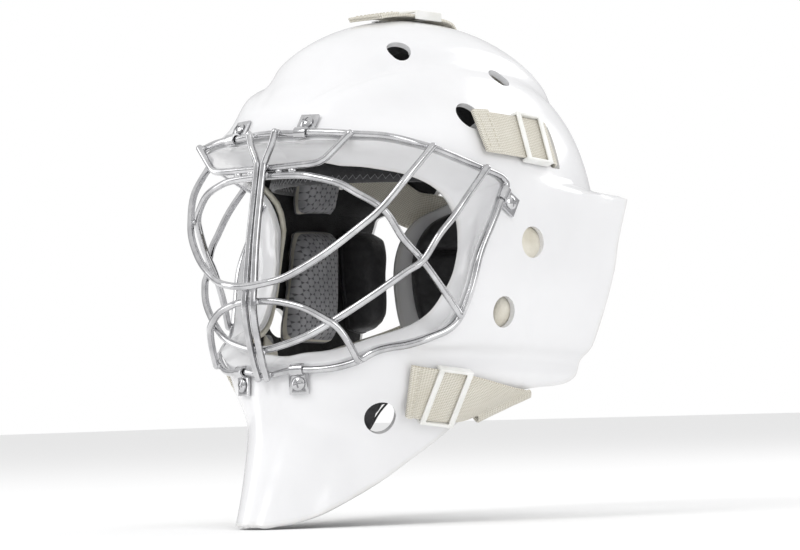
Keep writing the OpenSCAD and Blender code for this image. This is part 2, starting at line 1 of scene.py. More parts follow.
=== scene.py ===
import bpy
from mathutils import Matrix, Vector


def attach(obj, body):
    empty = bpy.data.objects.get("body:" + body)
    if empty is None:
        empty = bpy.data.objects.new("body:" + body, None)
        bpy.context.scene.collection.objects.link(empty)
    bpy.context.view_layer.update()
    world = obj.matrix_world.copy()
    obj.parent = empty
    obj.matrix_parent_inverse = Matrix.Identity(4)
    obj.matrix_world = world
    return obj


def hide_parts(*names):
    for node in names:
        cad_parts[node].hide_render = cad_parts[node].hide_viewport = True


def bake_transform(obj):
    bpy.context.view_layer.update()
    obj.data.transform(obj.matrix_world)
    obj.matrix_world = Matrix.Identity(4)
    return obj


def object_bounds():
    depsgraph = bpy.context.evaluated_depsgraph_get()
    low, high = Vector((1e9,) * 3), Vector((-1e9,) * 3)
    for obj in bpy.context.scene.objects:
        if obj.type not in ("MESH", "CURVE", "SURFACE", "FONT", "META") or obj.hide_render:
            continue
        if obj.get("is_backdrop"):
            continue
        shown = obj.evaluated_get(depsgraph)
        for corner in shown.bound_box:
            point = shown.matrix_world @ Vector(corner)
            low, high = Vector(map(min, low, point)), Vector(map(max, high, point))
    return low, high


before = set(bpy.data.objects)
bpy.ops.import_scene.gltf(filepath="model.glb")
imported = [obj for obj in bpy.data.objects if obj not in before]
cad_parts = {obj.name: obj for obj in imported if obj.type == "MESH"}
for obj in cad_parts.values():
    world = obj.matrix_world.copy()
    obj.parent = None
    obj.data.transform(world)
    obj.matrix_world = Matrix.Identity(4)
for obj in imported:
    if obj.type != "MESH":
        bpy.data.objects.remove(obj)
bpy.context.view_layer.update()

import math

import bmesh
import bpy
import numpy as np
from mathutils import Matrix, Vector
from mathutils.bvhtree import BVHTree

# Shape of the mask, in mm, as in the CAD source
CROWN, DOME_BACK, WALL, WIRE_R, LIFT = 151.0, 134.0, 4.0, 2.4, 3.1
STRAP_W, STRAP_T, STRAP_LIFT, PAD_T, PAD_GAP = 30.0, 1.8, 3.3, 13.0, 0.6
FRONT = [[-215, 173], [-192, 167], [-177, 161], [-158, 153.5], [-125, 142.5], [-96, 141],
         [-80, 140], [-60, 142], [0, 148], [60, 148], [76, 145], [90, 146], [115, 140], [160, 132]]
WIDE = [[-215, 78], [-185, 79], [-160, 80], [-140, 81], [-120, 83],
        [-96, 98], [-50, 107], [0, 110], [60, 110], [78, 109], [90, 107], [160, 107]]
SQUARE = [[-215, 1.35], [-160, 1.5], [-120, 1.7], [-95, 2], [-80, 2.25], [-50, 2.8],
          [0, 3.3], [58, 3.4], [70, 3], [80, 2.5], [95, 2.3], [160, 2.1]]
NOSE = [[-215, 13], [-150, 15], [-120, 14], [-85, 4], [-60, 1], [160, 1]]
EDGE = [[-90, 49.2], [-87.5, 49.4], [-84.1, 50.6], [-81.2, 52.4], [-78.5, 54.4], [-75, 57],
        [-71.4, 60], [-65.7, 65], [-60.2, 71], [-53.9, 78], [-48.5, 85], [-46.2, 95], [-45.3, 102],
        [-44.2, 106.5], [-42.1, 110], [-38.3, 112.5], [-33, 115], [-23.4, 119], [-10.7, 123],
        [0, 124.7], [11, 127], [16, 128.5], [23, 136], [30, 143], [45, 142], [65, 140], [90, 139]]
SEAT = [[-90, 32], [-74, 32.7], [-52, 40], [-45, 42.7], [-36, 52], [-32, 56.8], [-28, 59.3],
        [-18, 61.5], [-5, 64.3], [10, 72.6], [16.5, 77.2], [19.3, 77], [22, 69.5], [25.5, 61], [30, 53],
        [34, 46.8], [45, 36.2], [66, 29], [78, 27.6], [90, 27.3]]
PORT = [[-90, 77], [-74, 78], [-54, 85], [-43, 91], [-35, 92], [-23, 88], [-7, 84.5],
        [10, 85], [22, 86], [30, 83], [37, 76], [51, 63], [90, 50]]
COLUMN = [[0, -90], [0.1, -79], [0.21, -64], [0.29, -52], [0.46, -40.5], [0.56, -26], [0.69, 0],
          [0.83, 40], [1, 90]]
BAND = [[-130, 18], [-110, 31], [-90, 43], [-60, 53], [-30, 60], [10, 63], [60, 60], [110, 48]]
CLIPS = [[67.8, 32.25], [11.3, 78.75], [-75.2, 35.2]]


def smooth(a, b, x):
    t = np.clip((np.asarray(x, float) - a) / (b - a), 0, 1)
    return t * t * (3 - 2 * t)


def curve(table, x):
    t = np.array(table, float)
    xs, ys = t[:, 0], t[:, 1]
    k = np.arange(len(xs))
    a, b = np.maximum(k - 1, 0), np.minimum(k + 1, len(xs) - 1)
    m = (ys[b] - ys[a]) / (xs[b] - xs[a])
    x = np.clip(np.asarray(x, float), xs[0], xs[-1])
    i = np.clip(np.searchsorted(xs, x, side="right") - 1, 0, len(xs) - 2)
    h = xs[i + 1] - xs[i]
    t = (x - xs[i]) / h
    s = t * t * (3 - 2 * t)
    return ys[i] * (1 - s) + ys[i + 1] * s + h * t * (1 - t) * ((1 - t) * m[i] - t * m[i + 1])


def fold(a):
    p = (np.asarray(a, float) + 180) % 360 - 180
    return np.where(p > 90, 180 - p, np.where(p < -90, -180 - p, p))


def unit(v):
    return v / np.maximum(np.linalg.norm(v, axis=-1, keepdims=True), 1e-12)


def dome(t, m):
    return np.maximum(1 - np.clip(t, 0, 1) ** m, 1e-6) ** (1 / m)


def form(p):
    x, y, z = np.abs(p[..., 0]), p[..., 1], p[..., 2]
    t = z / CROWN
    w, n, r = curve(WIDE, z) * dome(t, 2.05), curve(SQUARE, z), curve(NOSE, z)
    yc = -12 * np.maximum(t, 0) ** 2
    xr = (np.sqrt(x * x + r * r) - r) / (np.sqrt(w * w + r * r) - r)
    face = xr ** n + (np.maximum(yc - y, 0) / np.maximum(curve(FRONT, z) * dome(t, 2.3) + yc, 2)) ** n
    back = xr ** 2.5 + (np.maximum(y - yc, 0) / np.maximum(DOME_BACK * dome(t, 2.25) - yc, 2)) ** 2.5
    rz = 39 - 8 * smooth(-20, 100, y)
    k, ys = smooth(rz + 4, rz - 4, z), y + 10
    side = (x / (w + 0.055 * (np.sqrt(ys * ys + 900) + ys) - 2)) ** 2.05
    return np.where(z >= CROWN, 9, np.where(y < yc, face, back * (1 - k) + side * k))


def aim(psi, om):
    p, o = np.radians(psi), np.radians(om)
    return np.stack([np.sin(o) * np.cos(p), -np.cos(o) + 0 * p, np.sin(o) * np.sin(p)], -1)


def relief(p, psi):
    x, y, z = np.abs(p[..., 0]), p[..., 1], p[..., 2]
    c, up = curve(BAND, y), smooth(85, 105, z)
    groove = -39 - 4 * smooth(-40, -110, y)
    return (up * (smooth(c + 4, c - 4, x) * 3 * (1 - 2.2 * smooth(-70, -105, y))
                  - 2.5 * np.exp(-((x - c - 5) / 6) ** 2))
            + 5 * np.exp(-((x - c - 22) / 15) ** 2 - ((z - 106) / 16) ** 2) * smooth(-55, -90, y)
            - 4.5 * np.exp(-((psi - groove) / 3.2) ** 2) * smooth(-125, -70, y))


def skin(psi, om):
    psi, om = np.broadcast_arrays(np.asarray(psi, float), np.asarray(om, float))
    d = aim(psi, om)
    lo, hi = np.full(psi.shape, 40.0), np.full(psi.shape, 290.0)
    for _ in range(26):
        m = (lo + hi) / 2
        inside = form(d * m[..., None]) < 1
        lo, hi = np.where(inside, m, lo), np.where(inside, hi, m)
    return d * (lo + relief(d * lo[..., None], fold(psi)))[..., None]


def skin_n(psi, om, e=0.8):
    psi, om = np.asarray(psi, float), np.asarray(om, float)
    a, b = skin(psi + e, om) - skin(psi - e, om), skin(psi, om + e) - skin(psi, om - e)
    n = unit(np.cross(a, b))
    return n * np.where((n * aim(psi, om)).sum(-1, keepdims=True) > 0, 1, -1)


def on_skin(psi, om, off):
    return skin(psi, om) + skin_n(psi, om) * np.asarray(off, float)[..., None]


def port(psi):
    r = curve(PORT, fold(psi))
    x, z = r * np.cos(np.radians(psi)), r * np.sin(np.radians(psi))
    return np.stack([x, -(115 - 66 * (np.minimum(np.abs(x), 84) / 83) ** 4.5), z], -1)


def rear(beta, gam):
    b, g = np.radians(beta), np.radians(gam)
    d = np.stack(np.broadcast_arrays(np.sin(g) * np.cos(b), np.cos(g), np.sin(g) * np.sin(b)), -1)
    s = (np.abs(d[..., 0]) / 100) ** 2.4 + (np.abs(d[..., 1]) / 128) ** 2.4 + (np.abs(d[..., 2]) / 135) ** 2.4
    return d / (s ** (1 / 2.4))[..., None]


def rear_n(beta, gam):
    beta, gam = np.asarray(beta, float), np.asarray(gam, float)
    n = unit(np.cross(rear(beta + 1, gam) - rear(beta - 1, gam), rear(beta, gam + 1) - rear(beta, gam - 1)))
    return n * np.where((n * rear(beta, gam)).sum(-1, keepdims=True) > 0, 1, -1)


def on_rear(beta, gam, off):
    return rear(beta, gam) + rear_n(beta, gam) * off


# Mesh helpers
def make(name, verts, faces, material, body, slot, angle=32, uv=None, clean=False):
    me = bpy.data.meshes.new(name)
    me.from_pydata((np.asarray(verts, float) / 1000).tolist(), [], [list(map(int, f)) for f in faces])
    me.validate()
    if uv is not None:
        layer = me.uv_layers.new(name="UVMap")
        index = np.zeros(len(me.loops), int)
        me.loops.foreach_get("vertex_index", index)
        layer.data.foreach_set("uv", np.asarray(uv, np.float32)[index].ravel())
    if clean:
        b = bmesh.new()
        b.from_mesh(me)
        bmesh.ops.recalc_face_normals(b, faces=b.faces)
        b.to_mesh(me)
        b.free()
    return adopt(bpy.data.objects.new(name, me), material, body, angle)


def adopt(o, material, body, angle=32):
    bpy.context.scene.collection.objects.link(o)
    o.data.materials.clear()
    o.data.materials.append(material)
    shade(o.data, angle)
    if body:
        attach(o, body)
    return o


def shade(me, angle):
    me.shade_smooth()
    me.set_sharp_from_angle(angle=math.radians(angle))


def baked(o):
    """The object's mesh with its modifiers applied."""
    bpy.context.view_layer.update()
    dg = bpy.context.evaluated_depsgraph_get()
    me = bpy.data.meshes.new_from_object(o.evaluated_get(dg))
    o.modifiers.clear()
    o.data = me
    return o


def ring_faces(m, n, loop_cols, loop_rows):
    return [(i * n + j, i * n + (j + 1) % n, (i + 1) % m * n + (j + 1) % n, (i + 1) % m * n + j)
            for i in range(m if loop_cols else m - 1) for j in range(n if loop_rows else n - 1)]


def grid_n(g, ring=False):
    du = np.roll(g, -1, 0) - np.roll(g, 1, 0)
    if not ring:
        du[0], du[-1] = g[1] - g[0], g[-1] - g[-2]
    dv = np.empty_like(g)
    dv[:, 1:-1], dv[:, 0], dv[:, -1] = g[:, 2:] - g[:, :-2], g[:, 1] - g[:, 0], g[:, -1] - g[:, -2]
    return unit(np.cross(dv, du))


def spline(pts, per=8, closed=False):
    """Catmull-Rom points."""
    p = np.asarray(pts, float)
    n = len(p)
    out = []
    for i in range(n if closed else n - 1):
        q = [p[(i + k) % n] if closed else p[min(max(i + k, 0), n - 1)] for k in (-1, 0, 1, 2)]
        for t in np.arange(per) / per:
            out.append(0.5 * (2 * q[1] + (q[2] - q[0]) * t + (2 * q[0] - 5 * q[1] + 4 * q[2] - q[3]) * t * t
                              + (3 * q[1] - q[0] - 3 * q[2] + q[3]) * t ** 3))
    if not closed:
        out.append(p[-1])
    return np.array(out)


def tube(pts, r, closed=False, sides=20):
    """Round tube with domed ends: vertices and faces."""
    p = np.asarray(pts, float)
    n = len(p)
    t = unit(np.roll(p, -1, 0) - np.roll(p, 1, 0))
    if not closed:
        t[0], t[-1] = unit(p[1] - p[0]), unit(p[-1] - p[-2])
    u = [unit(np.cross(t[0], [0.1, 0.2, 1.0]))]
    for k in range(1, n):
        u.append(unit(u[-1] - t[k] * (u[-1] @ t[k])))
    u = np.array(u)
    rad = np.broadcast_to(np.asarray(r, float), (n,)).copy()
    if closed:  # spread the frame's twist over the loop
        last = unit(u[-1] - t[0] * (u[-1] @ t[0]))
        twist = math.atan2(np.cross(last, u[0]) @ t[0], last @ u[0])
        k = (np.arange(n) / n * twist)[:, None]
        u = u * np.cos(k) + np.cross(t, u) * np.sin(k)
    else:
        caps = np.radians([80, 55, 28])
        head = [p[0] - t[0] * rad[0] * math.sin(a) for a in caps]
        tail = [p[-1] + t[-1] * rad[-1] * math.sin(a) for a in caps[::-1]]
        p = np.vstack([head, p, tail])
        rad = np.concatenate([rad[0] * np.cos(caps), rad, rad[-1] * np.cos(caps[::-1])])
        t = np.vstack([[t[0]] * 3, t, [t[-1]] * 3])
        u = np.vstack([[u[0]] * 3, u, [u[-1]] * 3])
    v = np.cross(u, t)
    a = np.arange(sides) / sides * 2 * math.pi
    ring = np.cos(a)[None, :, None] * u[:, None] + np.sin(a)[None, :, None] * v[:, None]
    g = p[:, None] + rad[:, None, None] * ring
    m = len(g)
    faces = ring_faces(m, sides, closed, True)
    if not closed:
        faces += [list(range(sides - 1, -1, -1)), [(m - 1) * sides + j for j in range(sides)]]
    return g.reshape(-1, 3), faces


def join(parts):
    verts, faces, k = [], [], 0
    for v, f in parts:
        verts.append(np.asarray(v))
        faces += [[i + k for i in q] for q in f]
        k += len(v)
    return np.vstack(verts), faces


def mirrored(v, f):
    return np.asarray(v) * [-1, 1, 1], [list(q)[::-1] for q in f]


def slab(g, a, b, edge=0.5):
    """Closed sheet on a grid of points with rounded long and short edges, and flat uv in mm / 100."""
    n = grid_n(g)
    m, k = g.shape[:2]
    mid, half = (a + b) / 2, (b - a) / 2
    du = unit(np.gradient(g, axis=0))
    dv = unit(np.gradient(g, axis=1))
    core = g + n * mid
    uvs = []
    su = np.concatenate([[0], np.cumsum(np.linalg.norm(np.diff(g[:, k // 2], axis=0), axis=1))])
    sv = np.concatenate([[0], np.cumsum(np.linalg.norm(np.diff(g[m // 2], axis=0), axis=1))])
    uv = np.stack(np.meshgrid(su, sv, indexing="ij"), -1) / 100
    low, top = core - n * half, core + n * half
    ring = []  # boundary indices in order
    ring += [(i, 0) for i in range(m)] + [(m - 1, j) for j in range(1, k)]
    ring += [(i, k - 1) for i in range(m - 2, -1, -1)] + [(0, j) for j in range(k - 2, 0, -1)]
    verts = list(low.reshape(-1, 3)) + list(top.reshape(-1, 3))
    uvs = list(uv.reshape(-1, 2)) * 2
    faces = []
    for i in range(m - 1):
        for j in range(k - 1):
            q = (i * k + j, i * k + j + 1, (i + 1) * k + j + 1, (i + 1) * k + j)
            faces += [q, tuple(m * k + x for x in q[::-1])]
    base = len(verts)
    for i, j in ring:
        out = (du[i, j] * ((i == m - 1) - (i == 0.0)) + dv[i, j] * ((j == k - 1) - (j == 0.0)))
        for s in (-0.6, 0.0, 0.6):
            verts.append(core[i, j] + n[i, j] * half * s + unit(out) * edge * math.cos(s * 1.2))
            uvs.append(uv[i, j])
    for q, (i, j) in enumerate(ring):
        w = (q + 1) % len(ring)
        i2, j2 = ring[w]
        col = [i * k + j, base + 3 * q, base + 3 * q + 1, base + 3 * q + 2, m * k + i * k + j]
        nxt = [i2 * k + j2, base + 3 * w, base + 3 * w + 1, base + 3 * w + 2, m * k + i2 * k + j2]
        for s in range(4):
            faces.append((col[s], nxt[s], nxt[s + 1], col[s + 1]))
    return np.array(verts), faces, np.array(uvs)


def band(stations, width, k=12):
    """Grid of points of a flat strap through (centre, across, normal) stations."""
    c = np.array([s[0] for s in stations])
    a = unit(np.array([s[1] for s in stations]))
    w = np.linspace(-width / 2, width / 2, k + 1)
    return c[:, None] + a[:, None] * w[None, :, None]


def stitches(path, normals, length=2.6, gap=1.1, r=0.32, lift=0.15):
    """A row of thread stitches along a path."""
    p, n = np.asarray(path, float), np.asarray(normals, float)
    s = np.concatenate([[0], np.cumsum(np.linalg.norm(np.diff(p, axis=0), axis=1))])
    out, at = [], gap / 2
    while at + length < s[-1]:
        q = []
        for x, h in ((at, -0.25), (at + length * 0.25, lift), (at + length * 0.75, lift), (at + length, -0.25)):
            i = np.array([np.interp(x, s, p[:, d]) for d in range(3)])
            m = np.array([np.interp(x, s, n[:, d]) for d in range(3)])
            q.append(i + unit(m) * h)
        out.append(tube(q, r, sides=6))
        at += length + gap
    return join(out)


# Materials
class Nodes:
    def __init__(self, name, color, rough, metal=0.0, **sockets):
        self.mat = bpy.data.materials.new(name)
        self.mat.use_nodes = True
        self.t = self.mat.node_tree
        self.b = self.t.nodes["Principled BSDF"]
        self.b.inputs["Base Color"].default_value = (*color, 1)
        self.b.inputs["Roughness"].default_value = rough
        self.b.inputs["Metallic"].default_value = metal
        for k, v in sockets.items():
            self.b.inputs[k.replace("_", " ")].default_value = v

    def n(self, kind, **props):
        node = self.t.nodes.new("ShaderNode" + kind)
        for k, v in props.items():
            setattr(node, k, v)
        return node

    def link(self, a, b):
        self.t.links.new(a, b)

    def coords(self, kind="Object"):
        return self.n("TexCoord").outputs[kind]

    def noise(self, scale, detail=3.0, rough=0.5, coords=None):
        x = self.n("TexNoise")
        x.inputs["Scale"].default_value = scale
        x.inputs["Detail"].default_value = detail
        x.inputs["Roughness"].default_value = rough
        self.link(coords or self.coords(), x.inputs["Vector"])
        return x.outputs["Fac"]

    def voronoi(self, scale, feature="F1", randomness=1.0, coords=None):
        x = self.n("TexVoronoi", feature=feature)
        x.inputs["Scale"].default_value = scale
        x.inputs["Randomness"].default_value = randomness
        self.link(coords or self.coords(), x.inputs["Vector"])
        return x.outputs["Distance"]

    def ramp(self, fac, stops):
        x = self.n("ValToRGB")
        x.color_ramp.elements[0].position, x.color_ramp.elements[0].color = stops[0][0], (*stops[0][1], 1)
        x.color_ramp.elements[1].position, x.color_ramp.elements[1].color = stops[-1][0], (*stops[-1][1], 1)
        for p, c in stops[1:-1]:
            x.color_ramp.elements.new(p).color = (*c, 1)
        self.link(fac, x.inputs["Fac"])
        return x.outputs["Color"]

    def span(self, fac, lo, hi, a=0.0, b=1.0):
        x = self.n("MapRange")
        for k, v in zip((1, 2, 3, 4), (a, b, lo, hi)):
            x.inputs[k].default_value = v
        self.link(fac, x.inputs[0])
        return x.outputs[0]

    def math(self, op, a, b=None):
        x = self.n("Math", operation=op)
        for i, v in enumerate((a, b)):
            if v is None:
                continue
            if isinstance(v, (int, float)):
                x.inputs[i].default_value = v
            else:
                self.link(v, x.inputs[i])
        return x.outputs[0]

    def mix(self, fac, a, b):
        x = self.n("Mix", data_type="RGBA")
        self.link(fac, x.inputs[0])
        for i, v in ((6, a), (7, b)):
            if isinstance(v, tuple):
                x.inputs[i].default_value = (*v, 1)
            else:
                self.link(v, x.inputs[i])
        return x.outputs[2]

    def bump(self, height, strength, distance=0.001, after=None):
        x = self.n("Bump")
        x.inputs["Strength"].default_value = strength
        x.inputs["Distance"].default_value = distance
        self.link(height, x.inputs["Height"])
        if after:
            self.link(after, x.inputs["Normal"])
        return x.outputs["Normal"]

    def put(self, socket, value):
        self.link(value, self.b.inputs[socket])


def gloss_shell(name, lo, hi):
    m = Nodes(name, hi, 0.22, Coat_Weight=0.5, Coat_Roughness=0.06)
    worn = m.n("Attribute", attribute_name="rim").outputs["Fac"]
    base = m.ramp(m.noise(9, 4, 0.6), [(0.3, lo), (0.7, hi)])
    m.put("Base Color", m.mix(m.math("MULTIPLY", worn, m.noise(60, 3)), base, (0.62, 0.61, 0.58)))
    m.put("Roughness", m.math("ADD", m.span(m.noise(35, 4, 0.7), 0.19, 0.25, 0.3, 0.7),
                              m.math("MULTIPLY", worn, 0.15)))
    m.put("Normal", m.bump(m.noise(500, 2), 0.04, 0.0003, m.bump(m.noise(14, 1), 0.05, 0.002)))
    return m.mat


def chrome():
    m = Nodes("chrome_wire", (0.72, 0.72, 0.73), 0.1, 1.0)
    m.put("Base Color", m.ramp(m.noise(60, 4, 0.6), [(0.35, (0.46, 0.46, 0.47)), (0.65, (0.66, 0.66, 0.67))]))
    m.put("Roughness", m.span(m.noise(140, 5, 0.7), 0.06, 0.2, 0.35, 0.7))
    m.put("Normal", m.bump(m.noise(700, 3), 0.06, 0.0003))
    return m.mat


def satin_steel():
    m = Nodes("satin_steel", (0.55, 0.55, 0.56), 0.35, 1.0)
    m.put("Base Color", m.ramp(m.noise(200, 4), [(0.3, (0.42, 0.42, 0.42)), (0.7, (0.66, 0.66, 0.67))]))
    m.put("Roughness", m.span(m.noise(500, 4), 0.25, 0.5, 0.3, 0.7))
    m.put("Normal", m.bump(m.noise(1500, 2), 0.15, 0.0002))
    return m.mat


def webbing():
    """Woven elastic: cords along the strap and a finer weft across it, from flat uv in mm / 100."""
    m = Nodes("woven_elastic", (0.8, 0.77, 0.68), 0.85, Sheen_Weight=0.25, Sheen_Roughness=0.5)
    xy = m.n("SeparateXYZ")
    m.link(m.coords("UV"), xy.inputs[0])
    wobble = m.math("MULTIPLY", m.noise(900, 2), 0.25)
    cord = m.math("SINE", m.math("ADD", m.math("MULTIPLY", xy.outputs["Y"], 2 * math.pi * 100 / 1.25), wobble))
    weft = m.math("SINE", m.math("ADD", m.math("MULTIPLY", xy.outputs["X"], 2 * math.pi * 100 / 1.7),
                                 m.math("MULTIPLY", cord, 1.2)))
    weave = m.math("ADD", m.math("MULTIPLY", cord, 0.6), m.math("MULTIPLY", weft, 0.4))
    tone = m.ramp(m.span(weave, 0, 1, -1, 1), [(0.15, (0.50, 0.46, 0.37)), (0.55, (0.76, 0.73, 0.64)),
                                               (0.9, (0.86, 0.84, 0.77))])
    m.put("Base Color", m.mix(m.span(m.noise(40, 4), 0, 0.35, 0.4, 0.75), tone, (0.6, 0.55, 0.44)))
    m.put("Roughness", m.span(m.noise(300, 3), 0.78, 0.95))
    m.put("Normal", m.bump(weave, 0.55, 0.0004, m.bump(m.noise(1500, 3), 0.2, 0.0004)))
    return m.mat


def nylon():
    m = Nodes("white_nylon", (0.86, 0.86, 0.83), 0.42)
    m.put("Base Color", m.ramp(m.noise(80, 4), [(0.3, (0.80, 0.80, 0.76)), (0.7, (0.9, 0.9, 0.88))]))
    m.put("Roughness", m.span(m.noise(400, 4), 0.34, 0.55))
    m.put("Normal", m.bump(m.noise(1200, 3), 0.12, 0.0003))
    return m.mat


def foam(name, lo, hi, pore=420):
    m = Nodes(name, hi, 0.9)
    m.put("Base Color", m.ramp(m.noise(70, 5, 0.7), [(0.3, lo), (0.7, hi)]))
    m.put("Roughness", m.span(m.noise(200, 3), 0.82, 0.97))
    m.put("Normal", m.bump(m.voronoi(pore), 0.45, 0.0008, m.bump(m.noise(60, 3), 0.3, 0.002)))
    return m.mat


def black_vinyl():
    m = Nodes("black_vinyl", (0.02, 0.02, 0.022), 0.5, Sheen_Weight=0.15)
    m.put("Base Color", m.ramp(m.noise(120, 4), [(0.3, (0.012, 0.012, 0.014)), (0.75, (0.04, 0.04, 0.043))]))
    m.put("Roughness", m.span(m.noise(260, 4), 0.42, 0.68, 0.3, 0.7))
    m.put("Normal", m.bump(m.voronoi(650), 0.4, 0.0005, m.bump(m.noise(40, 3), 0.3, 0.002)))
    return m.mat


def perforated():
    """Black foam with rows of small punched holes."""
    m = Nodes("perforated_black", (0.03, 0.03, 0.032), 0.8)
    hole = m.span(m.voronoi(160, randomness=0.0), 0, 1, 0.2, 0.3)
    m.put("Base Color", m.mix(hole, (0.004, 0.004, 0.004),
                              m.ramp(m.noise(90, 4), [(0.3, (0.022, 0.022, 0.024)), (0.7, (0.05, 0.05, 0.053))])))
    m.put("Roughness", m.span(m.noise(240, 3), 0.7, 0.92))
    m.put("Normal", m.bump(hole, 0.8, 0.001, m.bump(m.noise(800, 3), 0.25, 0.0004)))
    return m.mat


def honeycomb():
    """Cream foam pad with a grey fabric face printed with a honeycomb; attribute face is 1 on the fabric."""
    m = Nodes("honeycomb_pad", (0.4, 0.4, 0.42), 0.85, Sheen_Weight=0.2)
    xyz = m.n("SeparateXYZ")
    m.link(m.coords(), xyz.inputs[0])
    k = 2 * math.pi / 0.0048
    y, z = xyz.outputs["Y"], xyz.outputs["Z"]
    waves = [m.math("COSINE", m.math("MULTIPLY", m.math("ADD", m.math("MULTIPLY", y, c), m.math("MULTIPLY", z, s)), k))
             for c, s in ((1, 0), (-0.5, 0.8660254), (-0.5, -0.8660254))]
    cell = m.math("ADD", m.math("ADD", waves[0], waves[1]), waves[2])
    inner = m.ramp(m.noise(90, 4), [(0.3, (0.30, 0.30, 0.32)), (0.7, (0.46, 0.46, 0.48))])
    cloth = m.mix(m.span(cell, 0, 1, -1.25, -0.9), (0.13, 0.13, 0.14), inner)
    raw = m.ramp(m.noise(60, 5), [(0.3, (0.62, 0.58, 0.48)), (0.7, (0.80, 0.77, 0.68))])
    side = m.n("Attribute", attribute_name="face").outputs["Fac"]
    m.put("Base Color", m.mix(m.span(side, 0, 1, 0.45, 0.5), raw, cloth))
    m.put("Roughness", m.span(m.noise(300, 3), 0.75, 0.95))
    m.put("Normal", m.bump(m.math("MULTIPLY", m.span(cell, 0, 1, -1.2, 0.2), side), 0.35, 0.0008,
                           m.bump(m.voronoi(700), 0.3, 0.0005)))
    return m.mat


def thread(name, color):
    m = Nodes(name, color, 0.7, Sheen_Weight=0.2)
    m.put("Base Color", m.ramp(m.noise(500, 3), [(0.3, tuple(c * 0.8 for c in color)), (0.7, color)]))
    m.put("Normal", m.bump(m.noise(2500, 2), 0.4, 0.0002))
    return m.mat


WHITE = gloss_shell("gloss_white_shell", (0.80, 0.80, 0.81), (0.86, 0.86, 0.87))
PLATE = gloss_shell("gloss_white_plate", (0.74, 0.74, 0.75), (0.81, 0.81, 0.82))
CHROME, STEEL, ELASTIC, NYLON = chrome(), satin_steel(), webbing(), nylon()
CREAM = foam("cream_foam", (0.60, 0.57, 0.47), (0.78, 0.75, 0.66))
BLACK, PERF, HONEY = black_vinyl(), perforated(), honeycomb()
INSIDE = foam("black_inside", (0.012, 0.012, 0.013), (0.035, 0.035, 0.037), 900)
THREAD, DARK_THREAD = thread("cream_thread", (0.72, 0.68, 0.57)), thread("grey_thread", (0.22, 0.22, 0.23))


def rim_mark(o, values):
    a = o.data.attributes.new("rim", "FLOAT", "POINT")
    a.data.foreach_set("value", np.asarray(values, np.float32))


# Shell
def shell_grid(cols, rows, flange):
    half = cols // 2
    i = np.arange(cols)
    psi = np.where(i <= half, curve(COLUMN, i / half), 180 - curve(COLUMN, (cols - i) / half))
    f = fold(psi)
    a, b = curve(EDGE, f) + 0.5 - 1.3 * smooth(-55, -90, f), curve(SEAT, f) - 1.6
    t = (np.arange(rows + 1) / rows)[None] ** (1 + 0.5 * smooth(-50, -80, f))[:, None]
    top = skin(psi[:, None], a[:, None] + (b - a)[:, None] * t)
    rim, d = top[:, -1], port(psi) - top[:, -1]
    n = unit(np.cross(np.cross(d, aim(psi, b)), d))
    k = np.arange(1, flange + 1) / flange
    lip = rim[:, None] + d[:, None] * k[None, :, None] - n[:, None] * 4 * np.sin(np.pi * k)[None, :, None]
    return np.concatenate([top, lip], 1)


